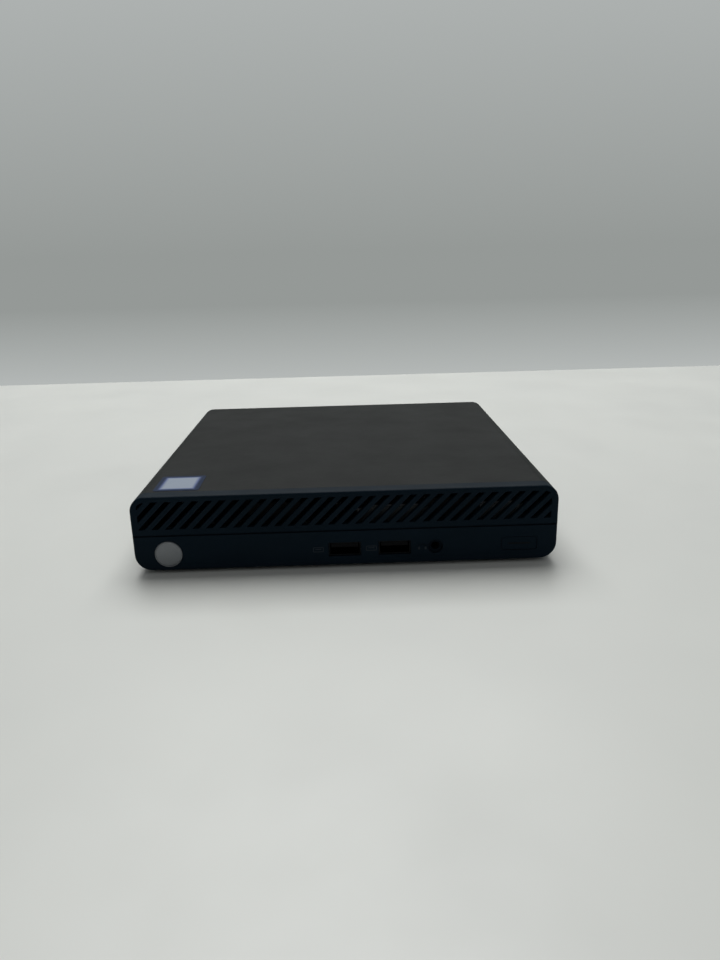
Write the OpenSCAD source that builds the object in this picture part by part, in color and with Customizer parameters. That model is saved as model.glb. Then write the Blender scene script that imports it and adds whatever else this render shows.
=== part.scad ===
// Small-form-factor desktop computer. The cover, with both front mouldings on it,
// slides forward off a folded steel tray that carries the boards, drive and cooler.
// Origin: centre of the footprint, on the table. +X right, +Y to the back, +Z up.

/* [Body] */
// Overall width
body_w = 177; // [172:1:190]
// Overall depth, front face to rear rim
body_d = 175; // [172:1:190]
// Overall height, table to top
body_h = 34; // [33.5:0.5:42]
// Corner radius of the long top edges
top_r = 6.5; // [4:0.5:8]
// Corner radius of the long bottom edges
bottom_r = 7; // [5:0.5:7]
// Sheet thickness of cover, tray and rear panel
skin = 1; // [0.8:0.1:1.2]
// Height of the rubber feet
foot_h = 1.5; // [1:0.1:2]
// Height of the cover's lower edge above the underside
skirt_h = 7; // [6.5:0.5:9]
// Gap along the seams between cover, tray and bezel
seam = 0.2; // [0.1:0.05:0.4]

/* [Front] */
// Depth of the front mouldings
bezel_d = 6.5; // [5:0.5:9]
// Thickness of the front face
bezel_wall = 2.5; // [2:0.25:3]
// Thickness of the rim behind the face
bezel_rim = 2; // [1.5:0.25:2.5]
// Rounding of the edge round the front face
front_round = 1; // [0.5:0.1:1.4]
// Height of the line where the two mouldings meet
parting_z = 17; // [16.5:0.1:17.5]
// Width of the groove along that line
groove_w = 0.7; // [0.3:0.1:1]
// Depth of that groove
groove_d = 0.8; // [0.4:0.1:1.2]
// Distance from the parting line to the foot of the vent band
vent_rise = 2.8; // [2:0.1:4]
// Plain border between the vent band and the top
vent_top = 2.2; // [1.5:0.1:3]
// Plain border at each end of the vent band
vent_side = 3; // [2.5:0.1:6]
// Spacing of the slanted vent slots along the width
vent_pitch = 5.6; // [5:0.1:7]
// Width of a slot, square to its length
vent_slot = 1.95; // [1.4:0.05:2.3]
// Diameter of the round badge
badge_dia = 11.5; // [8:0.1:12]
// Distance of the badge's centre from the left side
badge_in = 14.3; // [10:0.1:25]
// Height of badge, button and front ports above the table
front_axis_z = 8.8; // [8.7:0.1:9]
// Width of the power button
button_w = 14.8; // [10:0.1:18]
// Height of the power button
button_h = 5.6; // [4.5:0.1:6.4]
// Distance of the power button's centre from the right side
button_in = 15.9; // [14:0.1:18]
// How far the power button travels
button_travel = 0.8; // [0.4:0.1:1]

/* [Ports] */
// Place of the left front data port along the width
usb_left_x = -0.7; // [-3:0.1:1]
// Distance between the two front data ports
usb_gap = 20.9; // [18:0.1:22]
// Place of the headset jack along the width
jack_x = 37.3; // [35:0.1:42]
// Bore of the headset jack
jack_bore = 3.6; // [3.5:0.05:3.8]
// Inner width of a type A data port
usb_w = 12.5; // [12:0.1:13]
// Inner height of a type A data port
usb_h = 5.1; // [4.8:0.1:5.3]
// Length of a front data port
usb_l = 16; // [14:0.5:18]
// Wall of the stamped port shells
shell_t = 0.35; // [0.3:0.05:0.5]
// Bore of the direct-current inlet
inlet_bore = 5.5; // [5:0.1:6]
// Diameter of the pin inside that inlet
inlet_pin = 2.5; // [1.5:0.1:2.5]

/* [Board] */
// Distance from the main board's sides to the tray's walls
board_side_gap = 5.4; // [4:0.1:7]
// Distance from the main board's back edge to the rear panel
board_back_gap = 4; // [3:0.5:6]
// Thickness of the main board
board_t = 1.6; // [1.2:0.1:1.8]
// Height of the posts under the main board
post_h = 1.6; // [1.4:0.1:1.9]
// Width of the cooler
cooler_w = 60; // [56:1:62]
// Height of the fins above their base
fin_h = 16; // [12:0.5:17]
// Number of fins
fin_count = 21; // [12:1:26]
// Thickness of a fin
fin_t = 0.5; // [0.3:0.1:0.8]
// Number of blades on the blower wheel
blade_count = 29; // [15:2:35]
// Running gap between a turning shaft and its bush
shaft_gap = 0.05; // [0.03:0.01:0.08]

/* [Drive and cards] */
// Width of the storage drive
drive_w = 69.85; // [68:0.05:70]
// Length of the storage drive
drive_l = 100; // [98:0.2:100.4]
// Thickness of the storage drive
drive_t = 7; // [5:0.5:7.5]
// Height of the drive's carrier above the board
drive_lift = 9; // [8.5:0.25:10]
// Length of a memory module
module_l = 67.6; // [66:0.1:68]
// Depth of a memory module
module_d = 30; // [28:0.5:31]

/* [Underside] */
// Hole spacing of the monitor mount
mount_pitch = 100; // [95:1:105]
// Radius of a mounting hole
mount_hole_r = 2; // [1.5:0.1:2.2]
// Length of a rubber foot
foot_l = 24; // [16:1:30]
// Width of a rubber foot
foot_w = 9; // [6:0.5:11]
// Distance of a foot's centre from the sides
foot_in_x = 24; // [22:1:30]
// Distance of a foot's centre from front and back
foot_in_y = 14; // [13:1:20]

/* [Hidden] */
$fn = 48;
eps = 0.01;

// Clearances
fit = 0.2;              // between a port and the opening it shows through
guide = 0.3;            // between the sliding cover and what it slides on
touch = 0.05;           // between the button and the switch it presses

// Main levels and planes
under_z = foot_h;
seam_z = under_z + skirt_h;
floor_z = under_z + skin;
board_low = floor_z + post_h;
board_z = board_low + board_t;
ceiling_z = body_h - skin;
front_y = -body_d / 2;
rear_y = body_d / 2;
bezel_y = front_y + bezel_d;
tray_y = bezel_y + seam;
face_back_y = front_y + bezel_wall;
rear_inset = 3.5;
panel_y = rear_y - rear_inset;
panel_in_y = panel_y - skin;

// Tray walls that the cover runs along
wall_x = body_w / 2 - skin - 1.1;
wall_in_x = wall_x - skin;
wall_top_z = 22;
rail_x = body_w / 2 - skin - guide;
catch_gap = 0.3;
catch_t = 1.2;
catch_l = 10;
catch_places = [-66, -22, 22, 66];

// Front wall of the tray
front_wall_z = parting_z + 0.5;

// Front fittings
badge_x = -body_w / 2 + badge_in;
badge_t = 0.8;
button_x = body_w / 2 - button_in;
button_r = 1;
button_lip = 1.2;
button_lip_t = 1;
button_gap = 0.2;
button_recess = 0.2;
stem_r = 1.6;
light_w = 9;
light_h = 0.7;
light_t = 1.2;
usb_front_x = [usb_left_x, usb_left_x + usb_gap];
usb_mouth_y = front_y + 0.9;
usb_outer_w = usb_w + 2 * shell_t;
usb_outer_h = usb_h + 2 * shell_t;
usb_front_z = board_z + usb_outer_h / 2;
tongue_w = usb_w - 1.1;
tongue_t = 1.9;
tongue_rise = usb_h / 2 - 0.35 - tongue_t / 2;
jack_nose_r = 2.9;
jack_w = 7;
jack_l = 14.5;
jack_z = front_axis_z - 0.2;
jack_y = front_y + 0.9;

// Rear ports, side by side along the back edge of the board with equal gaps
port_out_y = panel_y + 1.2;
usb_rear_l = 18;
usb_rear_pitch = usb_outer_h + 1.6;
net_w = 16;
net_h = 13.4;
net_l = 17;
net_hole = [11.8, 8.2, 12];
net_foot = 2.6;
video_w = 16.6;
video_h = 5.4;
video_l = 14;
video_lift = 1;
inlet_w = 11;
inlet_h = 11;
inlet_l = 14;
inlet_deep = 10;
blank_w = 18;
blank_h = 8;
port_widths = [inlet_w, usb_outer_w, usb_outer_w, net_w, video_w, video_w, blank_w];
port_row = [-body_w / 2 + 13, body_w / 2 - 22.5];
port_gap = (port_row[1] - port_row[0] - sum(port_widths)) / (len(port_widths) - 1);
port_x = [for (i = [0:len(port_widths) - 1])
    port_row[0] + sum(port_widths, i) + i * port_gap + port_widths[i] / 2];
inlet_x = port_x[0];
usb_rear_x = [port_x[1], port_x[2]];
net_x = port_x[3];
video_x = [port_x[4], port_x[5]];
blank_x = port_x[6];
vent_slot_h = 6;
rear_vent_pitch = 4.4;
rear_vent_w = 2.4;
rear_vent_z = ceiling_z - 10;
screw_x = body_w / 2 - 22.5;
screw_z = ceiling_z - 5;
screw_r = 1.5;
screw_head_r = 4;
screw_head_t = 3;
lock_x = body_w / 2 - 9.5;
lock_w = 3;
lock_h = 7;
lock_z = 15;

// Board, between the tray's walls
board_x = wall_in_x - board_side_gap;
board_y0 = tray_y + 1.8;
board_y1 = panel_in_y - board_back_gap;

// Power switch on the board, behind the button
switch_w = 7;
switch_d = 4.5;
switch_y = board_y0 + 2.5;
plunger_r = 1.5;
plunger_out = 2.1;
plunger_in = 1.4;
plunger_y = switch_y - plunger_out;

// Cooler over the processor, with the blower in front of its fins
cooler_in = 7;
cooler_front = 17;
cooler_back = 5.2;
cooler_x = -board_x + cooler_in + cooler_w / 2;
cooler_y0 = board_y0 + cooler_front;
cooler_y1 = port_out_y - usb_rear_l - cooler_back;
processor_back = 36;
processor_y = cooler_y1 - processor_back;
socket_size = 42;
socket_t = 2.6;
processor_size = 37;
processor_t = 1.9;
cooler_z = board_z + socket_t + processor_t;
cooler_t = 2.5;
fin_z = cooler_z + cooler_t;
fin_in = 6;
fin_span = cooler_w - 2 * fin_in;
rotor_in = 6.5;
rotor_dia = cooler_w - 2 * rotor_in;
rotor_x = cooler_x;
rotor_y = cooler_y0 + cooler_w / 2 + 1;
mouth_l = 7;
fin_y0 = rotor_y + cooler_w / 2 + mouth_l;
cooler_screw_in = 3;
cooler_screw_x = cooler_w / 2 - cooler_screw_in;
cooler_screw_y = [fin_y0 + cooler_screw_in + 0.5, cooler_y1 - cooler_screw_in - 1];
housing_w = cooler_w;
housing_wall = 1.2;
housing_top_z = fin_z + fin_h;
rotor_low_z = fin_z + 2.2;
rotor_h = fin_h - 5;
hub_r = 11;
blade_t = 0.8;
blade_in = hub_r + 6;
blade_out = rotor_dia / 2 - 0.6;
blade_bend_r = 6;
blade_tilt = 18;
shaft_r = 1;
bush_r = 2.4;
stator_h = 5;
stator_r = 8.4;
stator_core_r = 4;
stator_arm_w = 4;
inlet_r = rotor_dia / 2 - 3;

// Drive in its carrier, over the front right of the board
carrier_t = 1;
carrier_z = board_z + drive_lift;
carrier_w = drive_w + 2 * (carrier_t + 0.15);
drive_in = 3;
drive_front = 5;
drive_x = board_x - drive_in - carrier_w / 2;
drive_y0 = board_y0 + drive_front;
drive_z = carrier_z + carrier_t;
leg_w = 8;
leg_l = 8;
leg_y = [drive_y0 + 12, drive_y0 + drive_l - 14];
drive_screw_y = [drive_l - 90.6, drive_l - 14];
window_w = 44;
window_l = 22;
window_y = [18, 62];
drive_lid_t = 0.8;
drive_lid_in = 1.2;
plug_shift = 2;
drive_hole_r = 1.4;
drive_hole_z = 3;
drive_screw_l = 3.8;
screw_head = [2.6, 1.6];
plug_w = 35.2;
plug_out = 3;
ribbon_w = 30;
ribbon_t = 0.3;
header_h = 2.5;

// Posts under the board, at its edges and between the cooler and the drive
post_in = 3;
post_y = 34;
post_places = [
    [-board_x + post_in, board_y0 + post_y], [-board_x + post_in, board_y1 - post_y],
    [cooler_x + cooler_w / 2 - post_in, board_y0 + post_y],
    [cooler_x + cooler_w / 2 - post_in, board_y1 - post_y],
    [board_x - post_in, drive_y0 + 64], [board_x - post_in, board_y1 - post_y]
];
post_r = 2.75;
post_bore_r = 1.25;
board_hole_r = 1.7;

// Memory under the drive
module_t = 1.2;
module_in = 3;
memory_bar_d = 6.5;
memory_x = drive_x;
memory_front = 30;
memory_y = [drive_y0 + memory_front, drive_y0 + memory_front - 0.5 - memory_bar_d];
memory_lift = [2.6, drive_lift - module_t - 1.05];
memory_arm_w = 2;
memory_arm_l = 18.2;
memory_bar_l = module_l + 2 * memory_arm_w + 0.4;
chip_l = 12;
chip_t = 0.9;
chip_y = 11;
key_w = 1.6;
key_d = 3.6;
key_x = module_l / 2 + 5;

// Wireless card behind the drive: socket on its left, leads from its right end
card_w = 22;
card_l = 30;
card_in = 43;
card_x = board_x - card_in;
card_gap = 3;
card_y = port_out_y - video_l - card_gap - card_w / 2;
card_z = board_z + 2.4;
card_t = 0.9;
card_socket_d = 6;
card_socket_h = 4.4;
card_jack_y = [card_y + 5, card_y - 5];
card_jack_x = card_x + card_l / 2 - 3;
card_jack_h = 1.2;
can_l = 16;
can_w = 15;
can_h = 1.3;
antenna_x = [-30, screw_x - 20];
antenna_w = 22;
antenna_h = 13;
antenna_t = 0.8;
antenna_z = front_wall_z - 3;
antenna_y = tray_y + skin;
lead_r = 0.6;
bend_r = 0.66;
lead_y = antenna_y + 2.8;
lead_z = [board_z + 7.2, board_z + 8.9];
lead_x = [wall_in_x - 2.4, wall_in_x - 4.4];

// Coin cell, between the card and the tray's right wall, under the leads
cell_r = 10;
cell_t = 3.2;
cell_wall = 1.3;
cell_x = board_x - 2.2 - cell_r - cell_wall;
cell_y = card_y + 2;

// Chipset with its cooler, and capacitors, behind the memory and under the drive
chipset_size = 22;
chipset_t = 1.7;
chipset_die = 12;
chipset_cooler_size = 26;
chipset_base_t = 1.5;
chipset_fin_h = 4;
chipset_x = drive_x + 9;
chipset_y = memory_y[0] + memory_bar_d / 2 - module_in + module_d + 2.5 + chipset_cooler_size / 2;
cap_d = 6.3;
cap_h = 6;
cap_x = [drive_x - 27, drive_x - 17];
cap_y = [chipset_y - 9, chipset_y + 1];

// Chokes under the cooler's front, and the speaker at the front left
choke_size = 7;
choke_t = 4;
choke_count = 6;
choke_y = processor_y - socket_size / 2 - 14;
speaker_l = 28;
speaker_d = 10;
speaker_h = 9;
speaker_x = -board_x + 18;
speaker_y = board_y0 + 6;

// ---------------------------------------------------------------- helpers

// Sum of a list's first n numbers, or of all of them
function sum(list, n = undef, i = 0) =
    i >= (is_undef(n) ? len(list) : n) ? 0 : list[i] + sum(list, n, i + 1);

// Extrude an outline drawn in X and Z along Y, from y0 to y1
module along_y(y0, y1)
    translate([0, y1, 0]) rotate([90, 0, 0]) linear_extrude(y1 - y0) children();

// Extrude an outline drawn in Y and Z along X, from x0 to x1
module along_x(x0, x1)
    translate([x0, 0, 0]) rotate([90, 0, 90]) linear_extrude(x1 - x0) children();

// A box between two opposite corners
module block(low, high)
    translate(low) cube(high - low);

// A box that stands on z, centred on x and y
module pad(x, y, z, size)
    translate([x - size[0] / 2, y - size[1] / 2, z]) cube(size);

// A flat rectangle with round corners, centred
module round_rect(w, h, r) {
    square([w - 2 * r, h], center = true);
    square([w, h - 2 * r], center = true);
    for (sx = [-1, 1], sy = [-1, 1])
        translate([sx * (w / 2 - r), sy * (h / 2 - r)]) circle(r);
}

// Mirror copies at -X and +X
module both_sides()
    for (s = [0, 1]) mirror([s, 0, 0]) children();

// Cross-section of the whole body, drawn in X and Z, moved in by a distance
module body_outline(inset = 0) {
    half = body_w / 2 - inset;
    low = under_z + inset;
    high = body_h - inset;
    low_r = bottom_r - inset;
    high_r = top_r - inset;
    translate([-half, low + low_r]) square([2 * half, high - high_r - low - low_r]);
    translate([-half + low_r, low]) square([2 * (half - low_r), low_r]);
    translate([-half + high_r, high - high_r]) square([2 * (half - high_r), high_r]);
    for (s = [-1, 1]) {
        translate([s * (half - low_r), low + low_r]) circle(low_r);
        translate([s * (half - high_r), high - high_r]) circle(high_r);
    }
}

// A wide strip between two heights, to cut an outline with
module level(z0, z1)
    translate([-body_w, z0]) square([2 * body_w, z1 - z0]);

// ---------------------------------------------------------------- front round

// What a quarter-round edge leaves over: across the edge, then forward
module edge_waste()
    difference() {
        square(front_round + 1);
        circle(front_round);
    }

module edge_strip(length)
    rotate([-90, 0, 0]) linear_extrude(length) mirror([0, 1]) edge_waste();

module edge_corner(x, z, r, turn)
    translate([x, z, 0]) rotate([0, 0, turn]) rotate_extrude(angle = 90)
        translate([r - front_round, 0]) edge_waste();

// Cutter that rounds the edge all round the front face
module front_edge_cut() {
    half = body_w / 2;
    translate([0, front_y + front_round, 0]) rotate([90, 0, 0]) {
        edge_corner(half - top_r, body_h - top_r, top_r, 0);
        edge_corner(-half + top_r, body_h - top_r, top_r, 90);
        edge_corner(-half + bottom_r, under_z + bottom_r, bottom_r, 180);
        edge_corner(half - bottom_r, under_z + bottom_r, bottom_r, 270);
        both_sides() translate([half - front_round, under_z + bottom_r, 0])
            edge_strip(body_h - top_r - under_z - bottom_r);
        translate([half - top_r, body_h - front_round, 0]) rotate([0, 0, 90])
            edge_strip(body_w - 2 * top_r);
        translate([-half + bottom_r, under_z + front_round, 0]) rotate([0, 0, -90])
            edge_strip(body_w - 2 * bottom_r);
    }
}

// ---------------------------------------------------------------- cover

module top_cover() color("#35383a") {
    along_y(bezel_y, rear_y) difference() {
        intersection() {
            body_outline();
            level(seam_z, body_h);
        }
        body_outline(skin);
    }
    // Catches that run under the tray's rails
    both_sides() for (y = catch_places)
        block([rail_x - 0.4, y - catch_l / 2, wall_top_z - skin - catch_gap - catch_t],
              [body_w / 2 - skin + eps, y + catch_l / 2, wall_top_z - skin - catch_gap]);
    // Lug that the thumbscrew draws on
    difference() {
        block([screw_x - 6, panel_in_y - 3.5, screw_z - 4],
              [screw_x + 6, panel_in_y - 2, ceiling_z + eps]);
        translate([screw_x, panel_in_y, screw_z]) rotate([90, 0, 0])
            cylinder(r = screw_r + touch, h = 5);
    }
}

// Outline of the vent band, drawn in X and Z
module vent_band()
    intersection() {
        body_outline(vent_top);
        translate([-body_w / 2 + vent_side, parting_z + vent_rise])
            square([body_w - 2 * vent_side, body_h - vent_top - parting_z - vent_rise]);
    }

// Slanted slots across the vent band
module vent_slots() {
    middle_z = (parting_z + vent_rise + body_h - vent_top) / 2;
    side_count = ceil(body_w / vent_pitch / 2) + 2;
    for (i = [-side_count:side_count])
        translate([i * vent_pitch, middle_z]) rotate(45)
            square([body_h, vent_slot], center = true);
}

// Hollow front moulding between two heights
module bezel_shell(z0, z1)
    difference() {
        along_y(front_y, bezel_y) intersection() {
            body_outline();
            level(z0, z1);
        }
        along_y(face_back_y, bezel_y + 1) body_outline(bezel_rim);
        front_edge_cut();
        // Half of the groove along the parting line
        block([-body_w, front_y - 1, parting_z - groove_w / 2],
              [body_w, front_y + groove_d, parting_z + groove_w / 2]);
    }

module upper_bezel() color("#0d1014") {
    difference() {
        bezel_shell(parting_z, body_h);
        along_y(front_y - 1, face_back_y + 1) intersection() {
            vent_band();
            vent_slots();
        }
    }
    // Tongue that plugs into the cover
    along_y(bezel_y - 1, bezel_y + 4) intersection() {
        difference() {
            body_outline(skin + touch);
            body_outline(skin + 1.2);
        }
        level(wall_top_z + 1, body_h);
    }
}

// Outline of the power button, drawn in X and Z
module button_outline(grow = 0)
    translate([button_x, front_axis_z])
        round_rect(button_w + 2 * grow, button_h + 2 * grow, button_r + grow);

module lower_bezel() color("#0b0f14")
    difference() {
        union() {
            bezel_shell(under_z, parting_z);
            // Guide frame round the button
            along_y(face_back_y - 0.5, face_back_y + 2) button_outline(button_gap + 1.2);
        }
        translate([0, -eps, 0]) along_y(front_y - 1, face_back_y + 3) {
            for (x = usb_front_x) translate([x, usb_front_z])
                square([usb_outer_w + 2 * fit, usb_outer_h + 2 * fit], center = true);
            button_outline(button_gap);
        }
        translate([jack_x, face_back_y + 1, jack_z]) rotate([90, 0, 0])
            cylinder(r = jack_nose_r + fit, h = bezel_wall + 3);
        translate([badge_x, front_y + badge_t, front_axis_z]) rotate([90, 0, 0])
            cylinder(d = badge_dia + 0.2, h = 2);
    }

module badge() color("#8d8f92")
    translate([badge_x, front_y + badge_t, front_axis_z]) rotate([90, 0, 0])
        cylinder(d = badge_dia, h = badge_t);

module power_button() color("#0f1317")
    difference() {
        union() {
            along_y(front_y + button_recess, face_back_y + 2.4) button_outline();
            // Rim behind the face that keeps the button in
            along_y(face_back_y + 2 + touch, face_back_y + 2 + touch + button_lip_t)
                button_outline(button_lip);
            // Stem that reaches the switch
            translate([button_x, plunger_y - touch, front_axis_z]) rotate([90, 0, 0])
                cylinder(r = stem_r, h = plunger_y - touch - face_back_y - 2);
        }
        light_guide_block(touch);
    }

// Bar of clear plastic across the middle of the button
module light_guide_block(grow)
    block([button_x - light_w / 2 - grow, front_y - 1, front_axis_z - light_h / 2 - grow],
          [button_x + light_w / 2 + grow, front_y + light_t + grow, front_axis_z + light_h / 2 + grow]);

module button_light_guide() color("#c8d4dc")
    intersection() {
        light_guide_block(0);
        along_y(front_y + button_recess, front_y + light_t) button_outline();
    }

// ---------------------------------------------------------------- tray

module base_tray() color("#2b2e31") {
    difference() {
        union() {
            // Curved pan that shows below the cover
            along_y(tray_y, rear_y) intersection() {
                difference() {
                    body_outline();
                    body_outline(skin);
                }
                level(under_z, seam_z - seam);
            }
            // Ledge, wall and rail on each side, inside the cover
            both_sides() along_y(tray_y, panel_in_y) {
                translate([wall_in_x, seam_z - seam - skin])
                    square([body_w / 2 - skin / 2 - wall_in_x, skin]);
                translate([wall_in_x, seam_z - seam - skin])
                    square([skin, wall_top_z - seam_z + seam + skin]);
                translate([wall_in_x, wall_top_z - skin]) square([rail_x - wall_in_x, skin]);
            }
            // Front wall
            along_y(tray_y, tray_y + skin)
                translate([-wall_x, floor_z - eps]) square([2 * wall_x, front_wall_z - floor_z]);
        }
        // Openings in the front wall for ports and button stem
        along_y(tray_y - 1, tray_y + skin + 1) {
            for (x = usb_front_x) translate([x, usb_front_z])
                square([usb_outer_w + 2 * fit, usb_outer_h + 2 * fit], center = true);
            translate([jack_x, jack_z]) circle(jack_nose_r + fit);
            translate([button_x, front_axis_z]) circle(stem_r + 2 * fit);
        }
        // Gaps in the rails that let the catches lift out once the cover is forward
        both_sides() for (y = catch_places)
            block([wall_x, y - catch_l / 2 - 13, wall_top_z - skin - 1],
                  [body_w, y + catch_l / 2 - 11, wall_top_z + 1]);
        // Holes of the monitor mount
        for (x = [-1, 1], y = [-1, 1])
            translate([x * mount_pitch / 2, y * mount_pitch / 2, 0])
                cylinder(r = mount_hole_r, h = floor_z + 1);
    }
}

module mount_inserts() color("#b9bcbe")
    for (x = [-1, 1], y = [-1, 1])
        translate([x * mount_pitch / 2, y * mount_pitch / 2, floor_z]) difference() {
            cylinder(r = mount_hole_r + 1.6, h = post_h - 0.3);
            translate([0, 0, -1]) cylinder(r = mount_hole_r, h = post_h + 2);
        }

module rubber_feet() color("#1a1b1c")
    for (x = [-1, 1], y = [-1, 1])
        translate([x * (body_w / 2 - foot_in_x), y * (body_d / 2 - foot_in_y), 0])
            linear_extrude(foot_h) round_rect(foot_l, foot_w, foot_w / 2 - 0.5);

// Every opening in the rear panel, drawn in X and Z
module rear_openings() {
    translate([inlet_x, board_z + inlet_h / 2]) port_hole(inlet_w, inlet_h);
    for (x = usb_rear_x) translate([x, board_z + usb_outer_h / 2 + usb_rear_pitch / 2])
        port_hole(usb_outer_w, usb_rear_pitch + usb_outer_h);
    translate([net_x, board_z + net_h / 2]) port_hole(net_w, net_h);
    for (x = video_x) translate([x, board_z + video_lift + video_h / 2]) port_hole(video_w, video_h);
    translate([blank_x, board_z + blank_h / 2]) port_hole(blank_w, blank_h);
    // Air outlets behind the fins
    for (x = [cooler_x - fin_span / 2 : rear_vent_pitch : cooler_x + fin_span / 2])
        translate([x, rear_vent_z + vent_slot_h / 2]) round_rect(rear_vent_w, vent_slot_h, rear_vent_w / 2 - eps);
    translate([screw_x, screw_z]) circle(screw_r + fit);
    translate([lock_x, lock_z]) round_rect(lock_w, lock_h, lock_w / 2 - eps);
}

module port_hole(w, h)
    square([w + 2 * fit, h + 2 * fit], center = true);

module rear_panel() color("#8f9295")
    along_y(panel_in_y, panel_y) difference() {
        union() {
            body_outline(skin + guide);
            translate([-body_w / 2 + 10, floor_z]) square([body_w - 20, 2]);
        }
        rear_openings();
    }

// Rivets that hold the rear panel to the tray's rails
module rear_rivets() color("#a5a8aa")
    both_sides() for (z = [10, 18])
        translate([wall_x - 3, panel_in_y, z]) rotate([-90, 0, 0]) {
            translate([0, 0, skin]) cylinder(r = 1.8, h = 0.7);
        }

module board_posts() color("#b9bcbe")
    for (p = post_places)
        translate([p[0], p[1], floor_z]) difference() {
            cylinder(r = post_r, h = post_h);
            translate([0, 0, -1]) cylinder(r = post_bore_r, h = post_h + 2);
        }

module main_board() color("#1d4a35")
    difference() {
        block([-board_x, board_y0, board_low], [board_x, board_y1, board_z]);
        for (p = post_places)
            translate([p[0], p[1], 0]) cylinder(r = board_hole_r, h = body_h);
    }

module screw(head_r, head_h, shank_r, shank_l)
    difference() {
        union() {
            cylinder(r = head_r, h = head_h);
            translate([0, 0, -shank_l]) cylinder(r = shank_r, h = shank_l + eps);
        }
        translate([0, 0, head_h / 2]) pad(0, 0, 0, [head_r, head_r / 4, head_h]);
        translate([0, 0, head_h / 2]) pad(0, 0, 0, [head_r / 4, head_r, head_h]);
    }

module board_screws() color("#c4c7c9")
    for (p = post_places) translate([p[0], p[1], board_z])
        screw(screw_head[0], screw_head[1], post_bore_r - touch, board_t + post_h - 0.3);

// ---------------------------------------------------------------- front parts

module power_switch() color("#3a3d40")
    difference() {
        block([button_x - switch_w / 2, switch_y, board_z],
              [button_x + switch_w / 2, switch_y + switch_d, front_axis_z + 2.4]);
        translate([button_x, switch_y + plunger_in + button_travel + touch, front_axis_z])
            rotate([90, 0, 0]) cylinder(r = plunger_r + touch, h = 10);
    }

module switch_plunger() color("#c9b037")
    translate([button_x, switch_y + plunger_in, front_axis_z]) rotate([90, 0, 0])
        cylinder(r = plunger_r, h = plunger_out + plunger_in);

// Stamped shell of a type A port: open at the front, closed at the back, centred on x and z
module usb_shell(x, z, y0, y1)
    difference() {
        along_y(y0, y1) translate([x, z]) square([usb_outer_w, usb_outer_h], center = true);
        along_y(y0 - 1, y1 - 1.5) translate([x, z]) square([usb_w, usb_h], center = true);
    }

module usb_tongue(x, z, y0, y1)
    along_y(y0 + 0.8, y1 - 1.5)
        translate([x, z + tongue_rise]) square([tongue_w, tongue_t], center = true);

module front_usb_shells() color("#b4b7ba")
    for (x = usb_front_x) usb_shell(x, usb_front_z, usb_mouth_y, usb_mouth_y + usb_l);

module front_usb_tongues() color("#17191b")
    for (x = usb_front_x) usb_tongue(x, usb_front_z, usb_mouth_y, usb_mouth_y + usb_l);

module headset_jack() color("#15171a")
    difference() {
        union() {
            block([jack_x - jack_w / 2, tray_y + skin + fit, board_z],
                  [jack_x + jack_w / 2, jack_y + jack_l, jack_z + jack_nose_r]);
            translate([jack_x, jack_y + jack_l, jack_z]) rotate([90, 0, 0])
                cylinder(r = jack_nose_r, h = jack_l);
        }
        translate([jack_x, jack_y + jack_l - 1, jack_z]) rotate([90, 0, 0])
            cylinder(d = jack_bore, h = jack_l + 1);
    }

module speaker() color("#26282b")
    translate([speaker_x, speaker_y, board_z]) {
        mouth_y = -speaker_d / 2;
        difference() {
            pad(0, 0, 0, [speaker_l, speaker_d, speaker_h]);
            translate([0, mouth_y + 1, speaker_h / 2]) rotate([90, 0, 0])
                cylinder(r = speaker_h * 0.4, h = 2);
        }
        // Cone and dust cap in the mouth
        translate([0, mouth_y + 1 + eps, speaker_h / 2]) rotate([90, 0, 0]) difference() {
            cylinder(r = speaker_h * 0.31, h = 0.6);
            translate([0, 0, 0.3]) cylinder(r = speaker_h * 0.18, h = 1);
        }
    }

// ---------------------------------------------------------------- cooler

module processor_socket() color("#2a2c2e")
    difference() {
        pad(cooler_x, processor_y, board_z, [socket_size, socket_size, socket_t]);
        pad(cooler_x, processor_y, board_z + 1, [processor_size + 0.4, processor_size + 0.4, 10]);
    }

module processor() color("#bfc2c4") {
    pad(cooler_x, processor_y, board_z + 1, [processor_size, processor_size, 1.2]);
    pad(cooler_x, processor_y, board_z + 2.2 - eps,
        [processor_size - 6, processor_size - 6, socket_t + processor_t - 2.2 + eps]);
}

module cooler() color("#b3b6b8") {
    difference() {
        block([cooler_x - cooler_w / 2, cooler_y0, cooler_z],
              [cooler_x + cooler_w / 2, cooler_y1, fin_z]);
        for (s = [-1, 1], y = cooler_screw_y)
            translate([cooler_x + s * cooler_screw_x, y, 0]) cylinder(r = board_hole_r, h = body_h);
    }
    for (i = [0:fin_count - 1])
        translate([cooler_x - fin_span / 2 + i * (fin_span - fin_t) / (fin_count - 1),
                   fin_y0, fin_z - eps])
            cube([fin_t, cooler_y1 - fin_y0, fin_h]);
}

module cooler_screws() color("#c4c7c9")
    for (s = [-1, 1], y = cooler_screw_y)
        translate([cooler_x + s * cooler_screw_x, y, fin_z])
            screw(2.8, 2, board_hole_r - fit, cooler_t + socket_t + processor_t);

// Scroll of the blower, drawn in X and Y: round in front, open to the fins behind
module scroll(grow = 0) {
    translate([rotor_x, rotor_y]) circle(housing_w / 2 - 1 + grow);
    translate([rotor_x - housing_w / 2 + 1 - grow, rotor_y])
        square([housing_w - 2 + 2 * grow, fin_y0 - rotor_y - 0.3]);
}

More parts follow.
